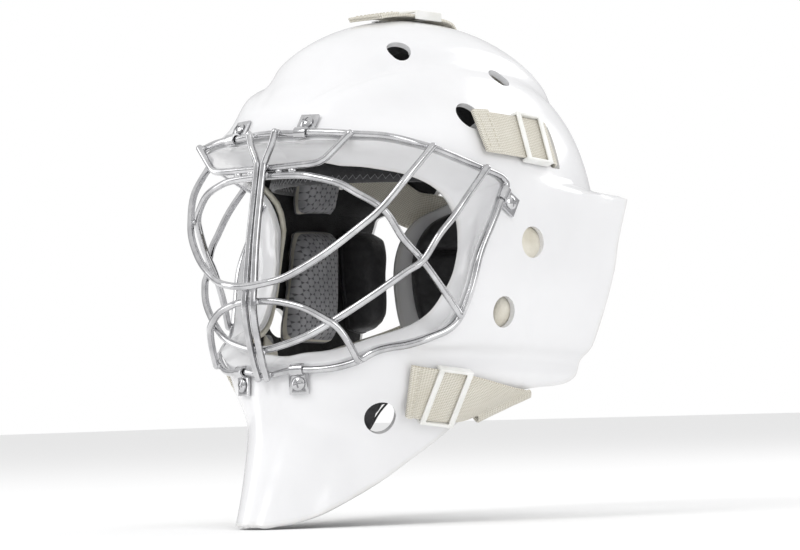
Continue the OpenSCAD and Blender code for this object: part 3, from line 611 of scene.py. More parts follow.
def shell():
    cols, rows, flange = 320, 72, 9
    g = shell_grid(cols, rows, flange)
    n = grid_n(g, True)
    if (n[0, 10] @ g[0, 10]) > 0:
        n = -n
    m = n.copy()
    for _ in range(6):  # an even inside where the flange turns in
        m[:, 1:-1] = unit(m[:, :-2] + m[:, 1:-1] + m[:, 2:])
        m = unit(np.roll(m, 1, 0) + m + np.roll(m, -1, 0))
    inner = g + m * WALL
    out = unit(g[:, 0] - g[:, 1])
    edge = [g[:, 0] * (1 - s) + inner[:, 0] * s + out * 0.9 * math.sin(math.pi * s) for s in (0.85, 0.5, 0.15)]
    out = unit(g[:, -1] - g[:, -2])
    lip = [g[:, -1] * (1 - s) + inner[:, -1] * s + out * 0.9 * math.sin(math.pi * s) for s in (0.15, 0.5, 0.85)]
    loop = np.concatenate([g, np.stack(lip, 1), inner[:, ::-1], np.stack(edge, 1)], 1)
    k = loop.shape[1]
    o = make("helmet_shell", loop.reshape(-1, 3), ring_faces(cols, k, True, True), WHITE, None, "shell_white",
             clean=True)
    o.data.materials.append(INSIDE)
    first, last = g.shape[1] + 3, g.shape[1] * 2 + 1
    index = [1 if first <= j < last else 0 for _ in range(cols) for j in range(k)]
    o.data.polygons.foreach_set("material_index", index)
    cuts = []
    for psi, om, r in [(*q, 2.7) for q in CLIPS] + [(35, 76, 2.2), (-52.7, 56, 2.2), (-2, 90.6, 10.5),
                       (-25.3, 77.5, 10.5), (-63.7, 53.3, 11), (41.6, 72.9, 10.5), (68.5, 66.4, 8.4), (57, 97.3, 8.4)]:
        p, d = skin(psi, om), skin_n(psi, om)
        v, f = tube([p - d * 11, p + d * 11], r, sides=48)
        cuts += [(v, f), mirrored(v, f)]
    p, d = skin(90, 80.5), skin_n(90, 80.5)
    cuts.append(tube([p - d * 11, p + d * 11], 2.2, sides=24))
    for psi, om in ((32.5, 107.5), (90, 105)):
        p, d = skin(psi, om), skin_n(psi, om)
        x = unit(skin(psi, om - 1) - skin(psi, om + 1))
        y = np.cross(d, x)
        ring = [(math.cos(a) * abs(math.cos(a)) ** -0.75 if abs(math.cos(a)) > 1e-6 else 0.0,
                 math.sin(a) * abs(math.sin(a)) ** -0.75 if abs(math.sin(a)) > 1e-6 else 0.0)
                for a in np.arange(40) / 40 * 2 * math.pi]
        v = np.array([p + d * h + x * 6 * np.clip(u, -1, 1) + y * 16.5 * np.clip(w, -1, 1)
                      for h in (-12, 12) for u, w in ring])
        f = ring_faces(2, 40, False, True) + [list(range(39, -1, -1)), list(range(40, 80))]
        cuts.append((v, f))
        if psi < 90:
            cuts.append(mirrored(v, f))
    v, f = join(cuts)
    cutter = make("cutter", v, f, WHITE, None, "shell_white", clean=True)
    b = o.modifiers.new("holes", "BOOLEAN")
    b.operation, b.solver, b.object = "DIFFERENCE", "EXACT", cutter
    baked(o)
    bpy.data.objects.remove(cutter)
    shade(o.data, 38)
    co = np.zeros(len(o.data.vertices) * 3)
    o.data.vertices.foreach_get("co", co)
    co = co.reshape(-1, 3) * 1000
    ends = np.vstack([g[:, 0], g[:, -1]])
    near = np.array([np.min(np.linalg.norm(ends - c, axis=1)) for c in co[::1]]) if len(co) < 90000 else np.full(len(co), 9)
    rim_mark(o, np.clip(1 - near / 3.0, 0, 1))
    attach(o, "mask")
    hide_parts("shell")
    # soft channel along the eye port edge
    i = np.arange(0, cols, 2)
    path = (g[:, -2] + m[:, -2] * (WALL + 2.3))[i]
    v, f = tube(path, 2.15, closed=True, sides=14)
    o = make("port_channel", v, f, CREAM, "mask", "cream_foam")
    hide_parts("port_gasket")
    return g, m


shell()

# Cage
BROW = [[0, -139.9, 48.5], [25, -139.6, 48.7], [44, -138.6, 49.2], [51, -137.7, 51.2], [56, -136, 55],
        [69.5, -131.3, 67.3]]
EYE = [[0, -140.6, 43.3], [30, -140.4, 42.3], [45, -138.2, 39.8], [61, -133.6, 35], [73, -128.3, 27.5],
       [82.5, -122, 20.5], [87.5, -116, 13], [91, -107, -1.6], [95.5, -94.5, -15.5], [101, -81.5, -34],
       [107, -71, -52.5]]
UPPER = [[0, -161.8, -29.5], [17, -160.4, -28], [33, -155.5, -24], [55, -146.5, -12], [75.2, -134.6, 4],
         [88.2, -123.1, 18], [99, -108.5, 38.5], [103.6, -88.8, 58]]
LOWER = [[0, -148.6, -71], [11, -148.2, -70.3], [35, -143.5, -64], [54, -135.5, -54], [77, -121.5, -38],
         [93, -106.5, -23.5], [99.5, -97.5, -16.5], [105.5, -87.5, 0], [109, -76.5, 12], [111.5, -63, 27.5],
         [112.6, -45.8, 44.5]]
MOUTH = [[0, -153.8, -39.3], [12.4, -152.9, -39.5], [22.3, -150.6, -40.6], [38.9, -147, -45.1],
         [52.5, -141.6, -52.9], [58.8, -136.3, -59], [62.5, -131.3, -68], [65, -125.3, -80]]
CENTER = [[12, -142, 72], [9, -142.8, 63], [4.2, -143.6, 54], [2.9, -144.6, 48], [2.9, -149.9, 20],
          [3.2, -154, -4], [3.7, -157, -28], [3.9, -158.5, -40], [3.9, -157.2, -55], [3.9, -152.6, -75],
          [3.9, -147.4, -90]]


def both(p):
    p = np.array(p, float)
    return np.vstack([(p * [-1, 1, 1])[:0:-1], p])


def cage():
    psi = np.arange(-90, 270, 2.5)
    loop = on_skin(psi, curve(SEAT, fold(psi)), np.full(len(psi), LIFT))
    wires = {"cage_frame": (loop, True)}
    for name, p in (("cage_brow_bar", both(BROW)), ("cage_eye_bar", both(EYE)), ("cage_upper_sweep", both(UPPER)),
                    ("cage_lower_sweep", both(LOWER)), ("cage_mouth_bar", both(MOUTH)),
                    ("cage_center_left", np.array(CENTER)), ("cage_center_right", np.array(CENTER) * [-1, 1, 1])):
        wires[name] = (spline(p, 10), False)
    for name, (p, closed) in wires.items():
        v, f = tube(p if not closed else spline(p, 3, True), WIRE_R, closed, sides=24)
        o = make("wire_" + name[5:], v, f, CHROME, "mask", "cage_chrome", angle=60)
        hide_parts(name)
    names, beads = list(wires), []
    for a in range(len(names)):
        for b in range(a + 1, len(names)):
            p, q = wires[names[a]][0], wires[names[b]][0]
            if {names[a], names[b]} == {"cage_center_left", "cage_center_right"}:
                continue
            d = np.linalg.norm(p[:, None] - q[None], axis=2)
            done = []
            for i, j in sorted(zip(*np.where(d < 6.2)), key=lambda ij: d[ij]):
                c = (p[i] + q[j]) / 2
                if all(np.linalg.norm(c - x) > 12 for x in done):
                    done.append(c)
                    tp = unit(p[(i + 1) % len(p)] - p[i - 1])
                    tq = unit(q[min(j + 1, len(q) - 1)] - q[max(j - 1, 0)])
                    tq = tq * (1 if tp @ tq > 0 else -1)
                    along = unit(tp + tq)
                    beads.append(tube([c - along * 1.5, c, c + along * 1.5], [1.7, 2.3, 1.7], sides=14))
    v, f = join(beads)
    make("cage_welds", v, f, CHROME, "mask", "cage_chrome", angle=60)


cage()


def remake(node, name, material, bevel=0.5, body="mask", angle=30):
    """A CAD node's shape with its edges rounded."""
    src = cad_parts[node]
    b = bmesh.new()
    b.from_mesh(src.data)
    bmesh.ops.remove_doubles(b, verts=b.verts, dist=2e-5)
    bmesh.ops.dissolve_limit(b, angle_limit=math.radians(2), verts=b.verts, edges=b.edges)
    sharp = [e for e in b.edges if len(e.link_faces) == 2 and e.calc_face_angle(0) > math.radians(angle)]
    if bevel:
        bmesh.ops.bevel(b, geom=sharp, offset=bevel / 1000, segments=3, profile=0.6, affect="EDGES",
                        clamp_overlap=True)
    bmesh.ops.recalc_face_normals(b, faces=b.faces)
    me = bpy.data.meshes.new(name)
    b.to_mesh(me)
    b.free()
    o = adopt(bpy.data.objects.new(name, me), material, body, 30)
    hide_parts(node)
    return o


for part in ("top", "side", "bottom"):
    for hand in ("left", "right"):
        remake(f"clip_{part}_{hand}", f"clamp_{part}_{hand}", CHROME, 0.35)
remake("cage_screws", "clamp_screws", CHROME, 0.2)
remake("cage_nuts", "clamp_nuts", STEEL, 0.3)
remake("strap_rivets", "harness_rivets", STEEL, 0.25)
remake("chin_snaps", "cup_snaps", STEEL, 0.3)
remake("backplate_rivets", "plate_rivets", STEEL, 0.3, "backplate")
for s in ("top_slider", "upper_slider_left", "upper_slider_right", "lower_slider_left", "lower_slider_right"):
    remake(s, s + "_buckle", NYLON, 0.6, s)


# Harness
def stop(psi, om, off):
    n = skin_n(psi, om)
    d = skin(psi, om + 1) - skin(psi, om - 1)
    return skin(psi, om) + n * off, np.cross(n, d), n


def stations(pts, n0, n1, per=6):
    p = spline(pts, per)
    k = len(p) - 1
    d = np.vstack([p[1] - p[0], p[2:] - p[:-2], p[-1] - p[-2]])
    t = (np.arange(k + 1) / k)[:, None]
    n = unit(n0 * (1 - t) + n1 * t)
    return [(p[i], np.cross(n[i], d[i]), n[i]) for i in range(k + 1)]


def refine(sts, per=5):
    """Smooth stations through the given ones, with no normal."""
    c = spline([s[0] for s in sts], per)
    a = spline([unit(s[1]) for s in sts], per)
    return [(c[i], a[i], None) for i in range(len(c))]


def strap_piece(name, sts, width, body, node=None, thick=STRAP_T, blend=None):
    g = band(sts, width)
    v, f, uv = slab(g, -thick / 2, thick / 2)
    o = make(name, v, f, ELASTIC, None if blend else body, "elastic_webbing", 50, uv, clean=True)
    if blend:
        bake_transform(o)
    if node:
        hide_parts(node)
    return o


def hem(name, psi, om0, om1, width, mirror_too=True):
    """Folded end of a strap with two rows of stitches across it."""
    om = np.linspace(om0, om1, 9)
    sts = [stop(psi, x, 4.9) for x in om]
    g = band(sts, width)
    v, f, uv = slab(g, -0.9, 0.9, 0.7)
    rows = []
    for x in (om0 + 1.3, om1 - 1.0):
        c, a, n = stop(psi, x, 5.9)
        w = np.linspace(-width / 2 + 1.5, width / 2 - 1.5, 20)
        rows.append(stitches(c + unit(a) * w[:, None], np.repeat(n[None], 20, 0)))
    sv, sf = join(rows)
    for hand in (("left", "right") if mirror_too else ("",)):
        vv, ff = (v, f) if hand != "right" else mirrored(v, f)
        make(f"{name}_hem{'_' * bool(hand)}{hand}", vv, ff, ELASTIC, "mask", "elastic_webbing", 50, uv, clean=True)
        vv, ff = (sv, sf) if hand != "right" else mirrored(sv, sf)
        make(f"{name}_stitches{'_' * bool(hand)}{hand}", vv, ff, THREAD, "mask", "elastic_webbing", 80)


def flip_stations(sts):
    m = np.array([-1, 1, 1])
    return [(c * m, -(a * m), None if n is None else n * m) for c, a, n in sts]


def harness():
    for psi0, om0, q, name in ((35, 73, (32.5, 107.5), "upper_strap"), (90, 77.5, (90, 105), "top_strap")):
        run = [stop(psi0 + (q[0] - psi0) * s, om0 - 1 + (q[1] - 3.5 - om0 + 1) * s, STRAP_LIFT)
               for s in np.linspace(0, 1, 16)]
        dive = [stop(q[0], q[1] - 1.5, 2.2), stop(q[0], q[1], -1.5), stop(q[0], q[1] + 1.5, -6.5)]
        if name == "upper_strap":
            b = 22
            inner = [on_skin(b + 7, 118.0, -12.5), on_skin(b + 5, 124.0, -12), on_rear(b, 43, 3.5),
                     on_rear(b, 36, 2.6), on_rear(b, 30, 2.0)]
            lead = stations([dive[-1][0], *inner], dive[-1][2], rear_n(b, 30), 5)
            outer = refine(run + dive, 3)
            for hand in ("left", "right"):
                fl = flip_stations if hand == "right" else (lambda s: s)
                strap_piece(f"{name}_{hand}_outer", fl(outer), STRAP_W, "mask", f"{name}_{hand}")
                p0, p1 = fl(lead)[0][0], fl(lead)[-8][0]
                strap_piece(f"{name}_{hand}_lead", fl(lead[0:]), STRAP_W - 3, None, None,
                            blend=(p0, p1))
        else:
            inner = [stop(90, 113, -7.6), stop(90, 122, -7), stop(90, 131, -6.6)]
            tail = [(on_rear(90, 44, 4.6),), (on_rear(90, 40, 3.2),), (on_rear(90, 33, 2.6),)]
            x = np.array([-1.0, 0, 0]) * (1 if inner[0][1][0] < 0 else -1)
            sts = run + dive + inner + [(t[0], x * np.linalg.norm(inner[0][1]), None) for t in tail]
            strap_piece("top_strap_webbing", refine(sts, 3), STRAP_W, None, "top_strap",
                        blend=(inner[2][0], tail[1][0]))
        hem(name, psi0, om0 - 1.2, om0 + 5.0, STRAP_W, name == "upper_strap")


harness()

JAW_LOW = [[0, -60, 57.6], [0.65, -57.6, 72], [1, -54.3, 78]]
JAW_HIGH = [[0, -46.2, 51.4], [0.4, -44.3, 67.3], [1, -46.5, 93]]


def track(table, u):
    t = np.array(table, float)
    return np.stack([curve(t[:, [0, 1]], u), curve(t[:, [0, 2]], u)], -1)


def jaw(u, v, off):
    a, b = track(JAW_LOW, u), track(JAW_HIGH, u)
    lo, hi = on_skin(a[..., 0], a[..., 1], off), on_skin(b[..., 0], b[..., 1], off)
    return lo * (1 - v)[..., None] + hi * v[..., None]


def edge_at(t, back, off):
    q = track(JAW_HIGH, 1.0) * (1 - t) + track(JAW_LOW, 1.0) * t
    return skin(q[0] - back * 0.8, q[1] + back * 0.6) + skin_n(q[0], q[1]) * off


def lower_harness():
    k = 16
    v = np.linspace(0, 1, k + 1)
    u = np.linspace(0, 1, 28)[:, None] * np.ones(k + 1)
    off = np.where(u > 0.97, STRAP_LIFT, STRAP_LIFT + 1.4)
    body = jaw(u, np.broadcast_to(v, u.shape), off)
    wrap = np.array([[edge_at(1 - t, b, o) for t in v] for b, o in ((2, 2.8), (3.2, 0.4), (3.2, -4.4), (1.7, -7.6),
                                                                    (-3.5, -8.2))])
    g = np.concatenate([body, wrap])
    smoothed = np.stack([spline(g[24:, j], 4) for j in range(k + 1)], 1)
    g = np.concatenate([g[:24], smoothed])
    sv, sf, uv = slab(g, -STRAP_T / 2, STRAP_T / 2)
    hu = np.linspace(0, 0.06, 5)[:, None] * np.ones(k + 1)
    hg = jaw(hu, np.broadcast_to(v, hu.shape), np.full(hu.shape, STRAP_LIFT + 3.1))
    hv, hf, huv = slab(hg, -0.9, 0.9, 0.7)
    rows = []
    for s in (0.014, 0.048):
        uu = np.full(24, s)
        w = np.linspace(0.05, 0.95, 24)
        p = jaw(uu, w, np.full(24, STRAP_LIFT + 4.1))
        n = unit(np.cross(p[-1] - p[0], jaw(uu + 0.05, w, np.full(24, STRAP_LIFT + 4.1)) - p))
        n = n * np.where((n * p).sum(-1, keepdims=True) > 0, 1, -1)
        rows.append(stitches(p, n, 3.0, 1.2))
    tv, tf = join(rows)
    c = -40
    n0 = skin_n(JAW_HIGH[2][1], JAW_HIGH[2][2])
    lead = stations([edge_at(0.3, -5, -14), edge_at(0.1, -3, -18) + np.array([0, 14, 6]), on_rear(c, 55, 6),
                     on_rear(c, 46, 2.6), on_rear(c, 40, 2.0)], n0, rear_n(c, 40), 6)
    for hand in ("left", "right"):
        fl = (lambda q, w: (q, w)) if hand == "left" else mirrored
        o = make(f"lower_strap_{hand}_webbing", *fl(sv, sf), ELASTIC, "mask", "elastic_webbing", 50, uv, clean=True)
        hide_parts(f"lower_strap_{hand}")
        make(f"lower_strap_{hand}_hem", *fl(hv, hf), ELASTIC, "mask", "elastic_webbing", 50, huv, clean=True)
        make(f"lower_strap_{hand}_stitches", *fl(tv, tf), THREAD, "mask", "elastic_webbing", 80)
        sts = lead if hand == "left" else flip_stations(lead)
        o = strap_piece(f"lower_strap_{hand}_lead", sts, STRAP_W - 4, None, None, blend=(sts[0][0], sts[-9][0]))
        if hand == "left":
            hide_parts("backplate_leads")


lower_harness()


# Liner
def puff(g_shape, power=4):
    i, j = np.meshgrid(np.linspace(-1, 1, g_shape[0]), np.linspace(-1, 1, g_shape[1]), indexing="ij")
    return np.maximum((1 - i ** power) * (1 - j ** power), 0) ** 0.4


def corner_grid(c, nu, nv, inset=0.0):
    u = np.linspace(1 - inset, inset, nu)[:, None, None]
    v = np.linspace(inset, 1 - inset, nv)[None, :, None]
    c = np.array(c, float)
    q = (c[0] * (1 - u) + c[1] * u) * (1 - v) + (c[3] * (1 - u) + c[2] * u) * v
    return skin(q[..., 0], q[..., 1])


SIM = []


def cushion(name, g, a, t, material, slot, body, node, mirror_node=None, cap=0.0035, shrink=2.5, cushioned=0.65,
            face=True):
    """Foam pad on a grid of points, inside the shell; swollen by cloth simulation."""
    n = grid_n(g)
    c = g.mean((0, 1))
    if (n * (-c)).sum(-1).mean() < 0:
        n = -n
    low = g + n * a
    top = g + n * (a + (t - shrink) * (1 - cushioned + cushioned * puff(g.shape)))[..., None]
    m, k = g.shape[:2]
    verts = np.vstack([low.reshape(-1, 3), top.reshape(-1, 3)])
    faces = []
    for i in range(m - 1):
        for j in range(k - 1):
            q = (i * k + j, i * k + j + 1, (i + 1) * k + j + 1, (i + 1) * k + j)
            faces += [q, tuple(m * k + x for x in q[::-1])]
    ring = [(i, 0) for i in range(m)] + [(m - 1, j) for j in range(1, k)]
    ring += [(i, k - 1) for i in range(m - 2, -1, -1)] + [(0, j) for j in range(k - 2, 0, -1)]
    for q, (i, j) in enumerate(ring):
        i2, j2 = ring[(q + 1) % len(ring)]
        faces.append((i * k + j, i2 * k + j2, m * k + i2 * k + j2, m * k + i * k + j))
    o = make(name, verts, faces, material, None, slot, 60, clean=True)
    r = o.modifiers.new("even", "REMESH")
    r.mode, r.voxel_size = "VOXEL", 0.0045
    baked(o)
    SIM.append({"o": o, "cap": cap, "body": body, "node": node, "twin": mirror_node, "low": low, "top": top,
                "ring": ring, "face": face, "slot": slot, "material": material})


def simulate():
    scene = bpy.context.scene
    rest = {}
    for s in SIM:
        o = s["o"]
        co = np.zeros(len(o.data.vertices) * 3)
        o.data.vertices.foreach_get("co", co)
        rest[o.name] = co.reshape(-1, 3)
        c = o.modifiers.new("swell", "CLOTH")
        c.settings.quality = 4
        c.settings.mass = 0.3
        c.settings.use_pressure = True
        c.settings.uniform_pressure_force = 4
        c.settings.effector_weights.gravity = 0
        c.collision_settings.use_collision = False
        c.point_cache.frame_start, c.point_cache.frame_end = 1, 20
    for f in range(1, 21):
        scene.frame_set(f)
    dg = bpy.context.evaluated_depsgraph_get()
    for s in SIM:
        o, r = s["o"], rest[s["o"].name]
        e = o.evaluated_get(dg).data
        co = np.zeros(len(e.vertices) * 3)
        e.vertices.foreach_get("co", co)
        move = co.reshape(-1, 3) - r
        size = np.linalg.norm(move, axis=1, keepdims=True)
        co = r + move * np.minimum(1, s["cap"] / np.maximum(size, 1e-9))
        o.modifiers.clear()
        o.data.vertices.foreach_set("co", co.ravel())
        sub = o.modifiers.new("fine", "SUBSURF")
        sub.levels = sub.render_levels = 1
        baked(o)
        shade(o.data, 75)
        finish_pad(s)
    scene.frame_set(1)


def finish_pad(s):
    """Marks the fabric face, adds a sewn edge, and the mirrored twin."""
    o = s["o"]
    co = np.zeros(len(o.data.vertices) * 3)
    o.data.vertices.foreach_get("co", co)
    co = co.reshape(-1, 3)
    low, top = s["low"] / 1000, s["top"] / 1000
    m, k = low.shape[:2]
    lows = BVHTree.FromPolygons([tuple(p) for p in low.reshape(-1, 3)],
                                [(i * k + j, i * k + j + 1, (i + 1) * k + j + 1, (i + 1) * k + j)
                                 for i in range(m - 1) for j in range(k - 1)])
    tall = np.linalg.norm(top - low, axis=-1).max()
    h = np.array([lows.find_nearest(Vector(c))[3] for c in co]) / tall
    a = o.data.attributes.new("face", "FLOAT", "POINT")
    a.data.foreach_set("value", np.clip((h - 0.2) / 0.5, 0, 1).astype(np.float32))
    bvh = BVHTree.FromObject(o, bpy.context.evaluated_depsgraph_get())
    path = []
    for i, j in s["ring"]:
        q = low[i, j] * 0.45 + top[i, j] * 0.55
        hit = bvh.find_nearest(Vector(q + (q - low.mean((0, 1))) * 0.05))
        path.append(np.array(hit[0] + hit[1] * 0.0002) * 1000)
    path = np.array(path)
    for _ in range(3):
        path = (np.roll(path, 1, 0) + 2 * path + np.roll(path, -1, 0)) / 4
    v, f = tube(spline(path, 2, True), 0.75, closed=True, sides=8)
    cord_mat = DARK_THREAD if s["material"] is HONEY else BLACK
    pieces = [(o, s["node"], make(o.name + "_piping", v, f, cord_mat, s["body"], s["slot"], 80))]
    if s["twin"] or not s["node"]:
        b = bmesh.new()
        b.from_mesh(o.data)
        bmesh.ops.transform(b, matrix=Matrix.Scale(-1, 4, Vector((1, 0, 0))), verts=b.verts)
        bmesh.ops.reverse_faces(b, faces=b.faces)
        me = bpy.data.meshes.new(o.name.replace("left", "right"))
        b.to_mesh(me)
        b.free()
        t = adopt(bpy.data.objects.new(me.name, me), s["material"], None, 75)
        v, f = mirrored(v, f)
        pieces.append((t, s["twin"], make(t.name + "_piping", v, f, cord_mat, s["body"], s["slot"], 80)))
    for q, node, piping in pieces:
        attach(q, s["body"])
        if node:
            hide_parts(node)


BASE = WALL + PAD_GAP + 0.8
cushion("forehead_cushion", corner_grid([[62, 46], [118, 46], [118, 66], [62, 66]], 30, 18, 0.02), BASE, PAD_T - 1,
        PERF, "black_foam", "mask", "forehead_pad")
cushion("crown_cushion", corner_grid([[62, 72], [118, 72], [118, 98], [62, 98]], 30, 20, 0.02), BASE, PAD_T,
        PERF, "black_foam", "mask", "crown_pad")
cushion("temple_cushion_left", corner_grid([[14, 84], [34, 83], [35, 104], [14, 104]], 16, 16, 0.03), BASE,
        PAD_T + 6, HONEY, "grey_foam", "mask", "temple_pad_left", "temple_pad_right")
cushion("cheek_cushion_left", corner_grid([[-33, 74], [9, 84], [9, 106], [-33, 100]], 24, 18, 0.03), BASE,
        PAD_T + 9, HONEY, "grey_foam", "mask", "cheek_pad_left", "cheek_pad_right")
cushion("jaw_cushion_left", corner_grid([[-58, 61], [-44, 60], [-44, 75], [-53, 71]], 14, 14, 0.03), BASE + 0.8,
        PAD_T - 2, HONEY, "grey_foam", "mask", "jaw_pad_left", "jaw_pad_right", cap=0.002)
# Black foam that fills the space behind the ear; the black sheet inside the jaw is painted shade, put where the
# interior is only in shadow
cushion("ear_cushion_left", corner_grid([[-29, 109], [9, 109], [9, 122.5], [-29, 117]], 20, 12, 0.03), BASE, 34,
        BLACK, "black_foam", "mask", None)
# Painted shade: a black sheet that darkens the view into the shaded inside of the jaw
cushion("jaw_liner_left", corner_grid([[-77, 42], [-56, 44], [-54, 58], [-70, 55]], 16, 14, 0.03), 11, 6,
        BLACK, "black_foam", "mask", None, cap=0.0015, shrink=1.0)
simulate()


def sweatband():
    a = np.radians(np.linspace(-70, 70, 90))
    c = np.stack([82 * np.sin(a), -99 * np.cos(a), np.full(len(a), 54.0)], -1)
    across = unit(np.stack([0.1 * np.sin(a), 0.3 * np.cos(a), np.ones(len(a))], -1))
    n = unit(np.stack([np.sin(a), -np.cos(a), 0 * a], -1))
    prof = []
    for q in np.arange(24) / 24 * 2 * math.pi:  # rounded section
        prof.append((np.sign(math.cos(q)) * abs(math.cos(q)) ** 0.55 * 16.6,
                     np.sign(math.sin(q)) * abs(math.sin(q)) ** 0.7 * 2.4))
    g = np.stack([c + across * w + n * h for w, h in prof], 1)
    m = len(a)
    f = ring_faces(m, 24, False, True) + [list(range(23, -1, -1)), [(m - 1) * 24 + j for j in range(24)]]
    o = make("sweatband_cover", g.reshape(-1, 3), f, BLACK, "mask", "black_foam", 60, clean=True)
    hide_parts("sweatband")
    rows = []
    for w in (-12.5, 12.5):
        zig = [c[i] + across[i] * (w + (1.6 if i % 2 else -1.6)) + n[i] * 2.35 for i in range(1, m - 1)]
        rows.append(tube(zig, 0.35, sides=6))
        zig = [c[i] + across[i] * (w + (1.6 if i % 2 else -1.6)) - n[i] * 2.35 for i in range(1, m - 1)]
        rows.append(tube(zig, 0.35, sides=6))
    v, f = join(rows)
    make("sweatband_zigzag", v, f, DARK_THREAD, "mask", "black_foam", 80)


sweatband()


def chin_cup():
    cup, tilt = np.array([0, -97, -103.0]), math.radians(-35)
    rot = np.array([[1, 0, 0], [0, math.cos(tilt), -math.sin(tilt)], [0, math.sin(tilt), math.cos(tilt)]])
    rows = []
    for g, r in [(9 + 65.5 * t, 30) for t in np.linspace(0, 1, 16)] + [(75.5, 27.5)] + \
                [(9 + 65.5 * t, 25 + 0.6 * math.sin(t * 20)) for t in np.linspace(1, 0, 16)] + [(7.8, 27.5)]:
        a = np.radians(g)
        rows.append([r * np.array([math.sin(a) * math.cos(b), math.sin(a) * math.sin(b), -math.cos(a)])
                     for b in np.arange(64) / 64 * 2 * math.pi])
    g = np.array(rows).transpose(1, 0, 2) @ rot.T + cup
    o = make("chin_cup_bowl", g.reshape(-1, 3), ring_faces(64, g.shape[1], True, True), BLACK, "chin_cup",
             "black_foam", 60, clean=True)
    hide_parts("chin_cup")
    edge = g[:, 16] + (g[:, 16] - cup) * 0.0
    v, f = tube(edge, 1.3, closed=True, sides=10)
    make("chin_cup_binding", v, f, ELASTIC, "chin_cup", "elastic_webbing", 80)
    a = on_skin(np.array(-35.0), np.array(68.0), np.array(-12.0))
    c = cup + 31.3 * unit(np.array([26.5, 6, -6]))
    m = (a + c) / 2 + [4, -2, -2]
    p = spline([a, m, c], 10)
    d = unit(np.gradient(p, axis=0))
    n0, n1 = np.array([1.0, 0, 0]), unit(c - cup)
    n = unit(n0 + (n1 - n0) * np.linspace(0, 1, len(p))[:, None])
    across = unit(np.cross(n, d))
    for hand in (1, -1):
        s = np.array([hand, 1, 1])
        sts = [(q * s, w * s * hand, None) for q, w in zip(p, across)]
        side = "left" if hand > 0 else "right"
        strap_piece("chin_webbing_" + side, sts, 16, "chin_cup", "chin_strap_" + side)


chin_cup()

RIM = [[-90, 47], [-60, 50], [-40, 52], [-20, 50], [0, 47], [15, 42], [30, 32.5], [45, 32.5],
       [64, 34.5], [76, 40], [90, 41.8]]


def backplate():
    cols, k = 192, 40
    beta = np.arange(cols) / cols * 360
    top = curve(RIM, fold(beta)) - 0.5
    g0 = 9.5
    om = g0 + (top - g0)[:, None] * np.linspace(0, 1, k + 1)[None]
    b = np.repeat(beta[:, None], k + 1, 1)
    n = rear_n(b, om)
    # pressed ribs run from the vent to the rim
    along = np.clip((om - g0 - 3) / (top[:, None] - g0 - 8), 0, 1)
    rib = 1.2 * np.maximum(np.cos(np.radians(4 * b)), 0) ** 8 * np.sin(np.pi * along)
    out = rear(b, om) - n * rib[..., None]
    inn = out - n * 3
    e0 = [out[:, -1] * (1 - s) + inn[:, -1] * s + unit(out[:, -1] - out[:, -2]) * 0.8 * math.sin(math.pi * s)
          for s in (0.2, 0.5, 0.8)]
    e1 = [inn[:, 0] * (1 - s) + out[:, 0] * s + unit(out[:, 0] - out[:, 1]) * 0.8 * math.sin(math.pi * s)
          for s in (0.2, 0.5, 0.8)]
    loop = np.concatenate([out, np.stack(e0, 1), inn[:, ::-1], np.stack(e1, 1)], 1)
    o = make("rear_plate", loop.reshape(-1, 3), ring_faces(cols, loop.shape[1], True, True), PLATE, "backplate",
             "backplate_white", 40, clean=True)
    rim = np.zeros(loop.shape[:2])
    rim[:, k - 1:k + 6] = 1
    rim[:, :2] = rim[:, -3:] = 1
    rim_mark(o, rim.ravel())
    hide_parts("backplate")
    # lining with eight sewn sectors
    k = 26
    top = curve(RIM, fold(beta)) * 0.88 - 0.6
    g0 = 14.6
    s = np.linspace(0, 1, k + 1)[None]
    om = g0 + (top - g0)[:, None] * s
    b = np.repeat(beta[:, None], k + 1, 1)
    n = rear_n(b, om)
    seam = np.minimum(1, (np.abs(((b / 45) % 1) - 0.5) * -2 + 1) * 5)
    seam = 1 - 0.45 * np.exp(-((((b / 45 + 0.5) % 1) - 0.5) / 0.045) ** 2)
    high = 3.6 + 12 * (0.4 + 0.6 * np.maximum(1 - (2 * s - 1) ** 4, 0) ** 0.4) * seam
    out, inn = rear(b, om) - n * 3.7, rear(b, om) - n * high[..., None]
    loop = np.concatenate([out, inn[:, ::-1]], 1)
    o = make("rear_lining", loop.reshape(-1, 3), ring_faces(cols, loop.shape[1], True, True), BLACK, "backplate",
             "black_foam", 70, clean=True)
    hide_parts("backplate_pad")


backplate()


# Camera, lights and floor
def camera():
    az, el, roll = math.radians(42), math.radians(-2.6), math.radians(-1.7)
    back = np.array([math.sin(az) * math.cos(el), -math.cos(az) * math.cos(el), math.sin(el)])
    r0 = np.array([math.cos(az), math.sin(az), 0])
    u0 = np.cross(back, r0)
    r, u = math.cos(roll) * r0 + math.sin(roll) * u0, -math.sin(roll) * r0 + math.cos(roll) * u0
    data = bpy.data.cameras.new("photo_camera")
    cam = bpy.data.objects.new("photo_camera", data)
    bpy.context.scene.collection.objects.link(cam)
    m = Matrix([[r[i], u[i], back[i], 2.4 * back[i]] for i in range(3)] + [[0, 0, 0, 1]])
    cam.matrix_world = m
    data.sensor_width = 36
    data.lens = 3480 * 36 / 800
    data.shift_x, data.shift_y = -9 / 800, -30 / 800
    data.clip_end = 50
    bpy.context.scene.camera = cam


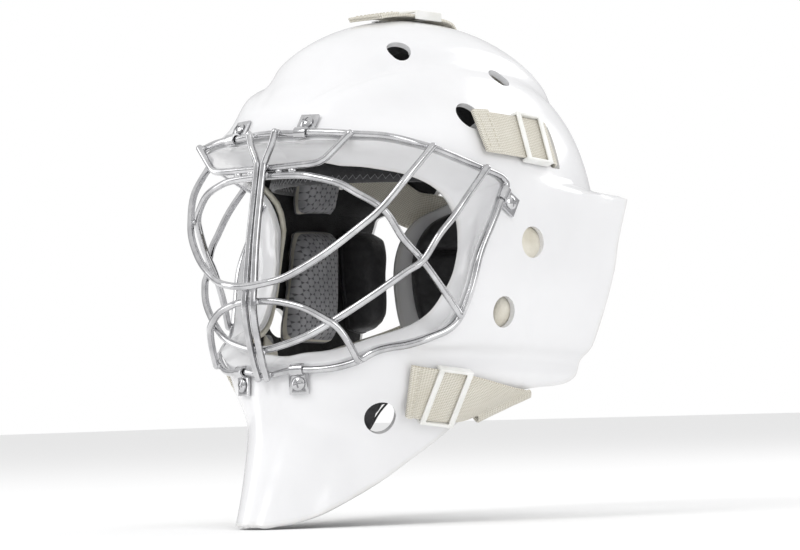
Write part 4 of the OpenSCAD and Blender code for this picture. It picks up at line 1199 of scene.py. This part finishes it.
def area(name, place, target, size, power, color=(1, 1, 1)):
    light = bpy.data.lights.new(name, "AREA")
    light.shape, light.size, light.size_y, light.energy, light.color = "RECTANGLE", size[0], size[1], power, color
    o = bpy.data.objects.new(name, light)
    bpy.context.scene.collection.objects.link(o)
    o.location = place
    o.rotation_mode = "QUATERNION"
    o.rotation_quaternion = (Vector(target) - Vector(place)).to_track_quat("-Z", "Y")


def studio():
    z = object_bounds()[0][2] - 0.001
    me = bpy.data.meshes.new("floor")
    me.from_pydata([(-9, -9, z), (9, -9, z), (9, 9, z), (-9, 9, z)], [], [(0, 1, 2, 3)])
    floor = bpy.data.objects.new("floor", me)
    bpy.context.scene.collection.objects.link(floor)
    m = Nodes("pale_floor", (0.95, 0.95, 0.95), 0.8)
    me.materials.append(m.mat)
    floor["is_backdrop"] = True
    world = bpy.data.worlds.new("studio")
    world.use_nodes = True
    t = world.node_tree
    shown, ramp, xyz, geo, path, mix = (t.nodes.new("ShaderNode" + k) for k in (
        "Background", "ValToRGB", "SeparateXYZ", "TexCoord", "LightPath", "MixShader"))
    base, out = t.nodes["Background"], t.nodes["World Output"]
    shown.inputs[0].default_value, shown.inputs[1].default_value = (1, 1, 1, 1), 1.0
    t.links.new(geo.outputs["Generated"], xyz.inputs[0])
    t.links.new(xyz.outputs["Z"], ramp.inputs[0])
    ramp.color_ramp.elements[0].color = (0.5, 0.5, 0.51, 1)
    ramp.color_ramp.elements[1].color = (1, 1, 1, 1)
    ramp.color_ramp.elements[1].position = 0.6
    t.links.new(ramp.outputs[0], base.inputs[0])
    base.inputs[1].default_value = 0.9
    t.links.new(path.outputs["Is Camera Ray"], mix.inputs[0])
    t.links.new(base.outputs[0], mix.inputs[1])
    t.links.new(shown.outputs[0], mix.inputs[2])
    t.links.new(mix.outputs[0], out.inputs[0])
    bpy.context.scene.world = world
    bpy.context.scene.view_settings.view_transform = "Standard"
    area("key", (-0.6, -2.2, 2.0), (0, 0, 0), (1.2, 1.2), 22)
    area("left_fill", (-2.2, -1.2, 0.6), (0, 0, 0), (0.8, 1.8), 8)
    area("right_fill", (2.4, -0.6, 0.9), (0, 0, 0), (1.0, 1.6), 12)
    area("rim_light", (0.6, 2.2, 1.4), (0, 0, 0), (1.2, 1.2), 12)


camera()
studio()
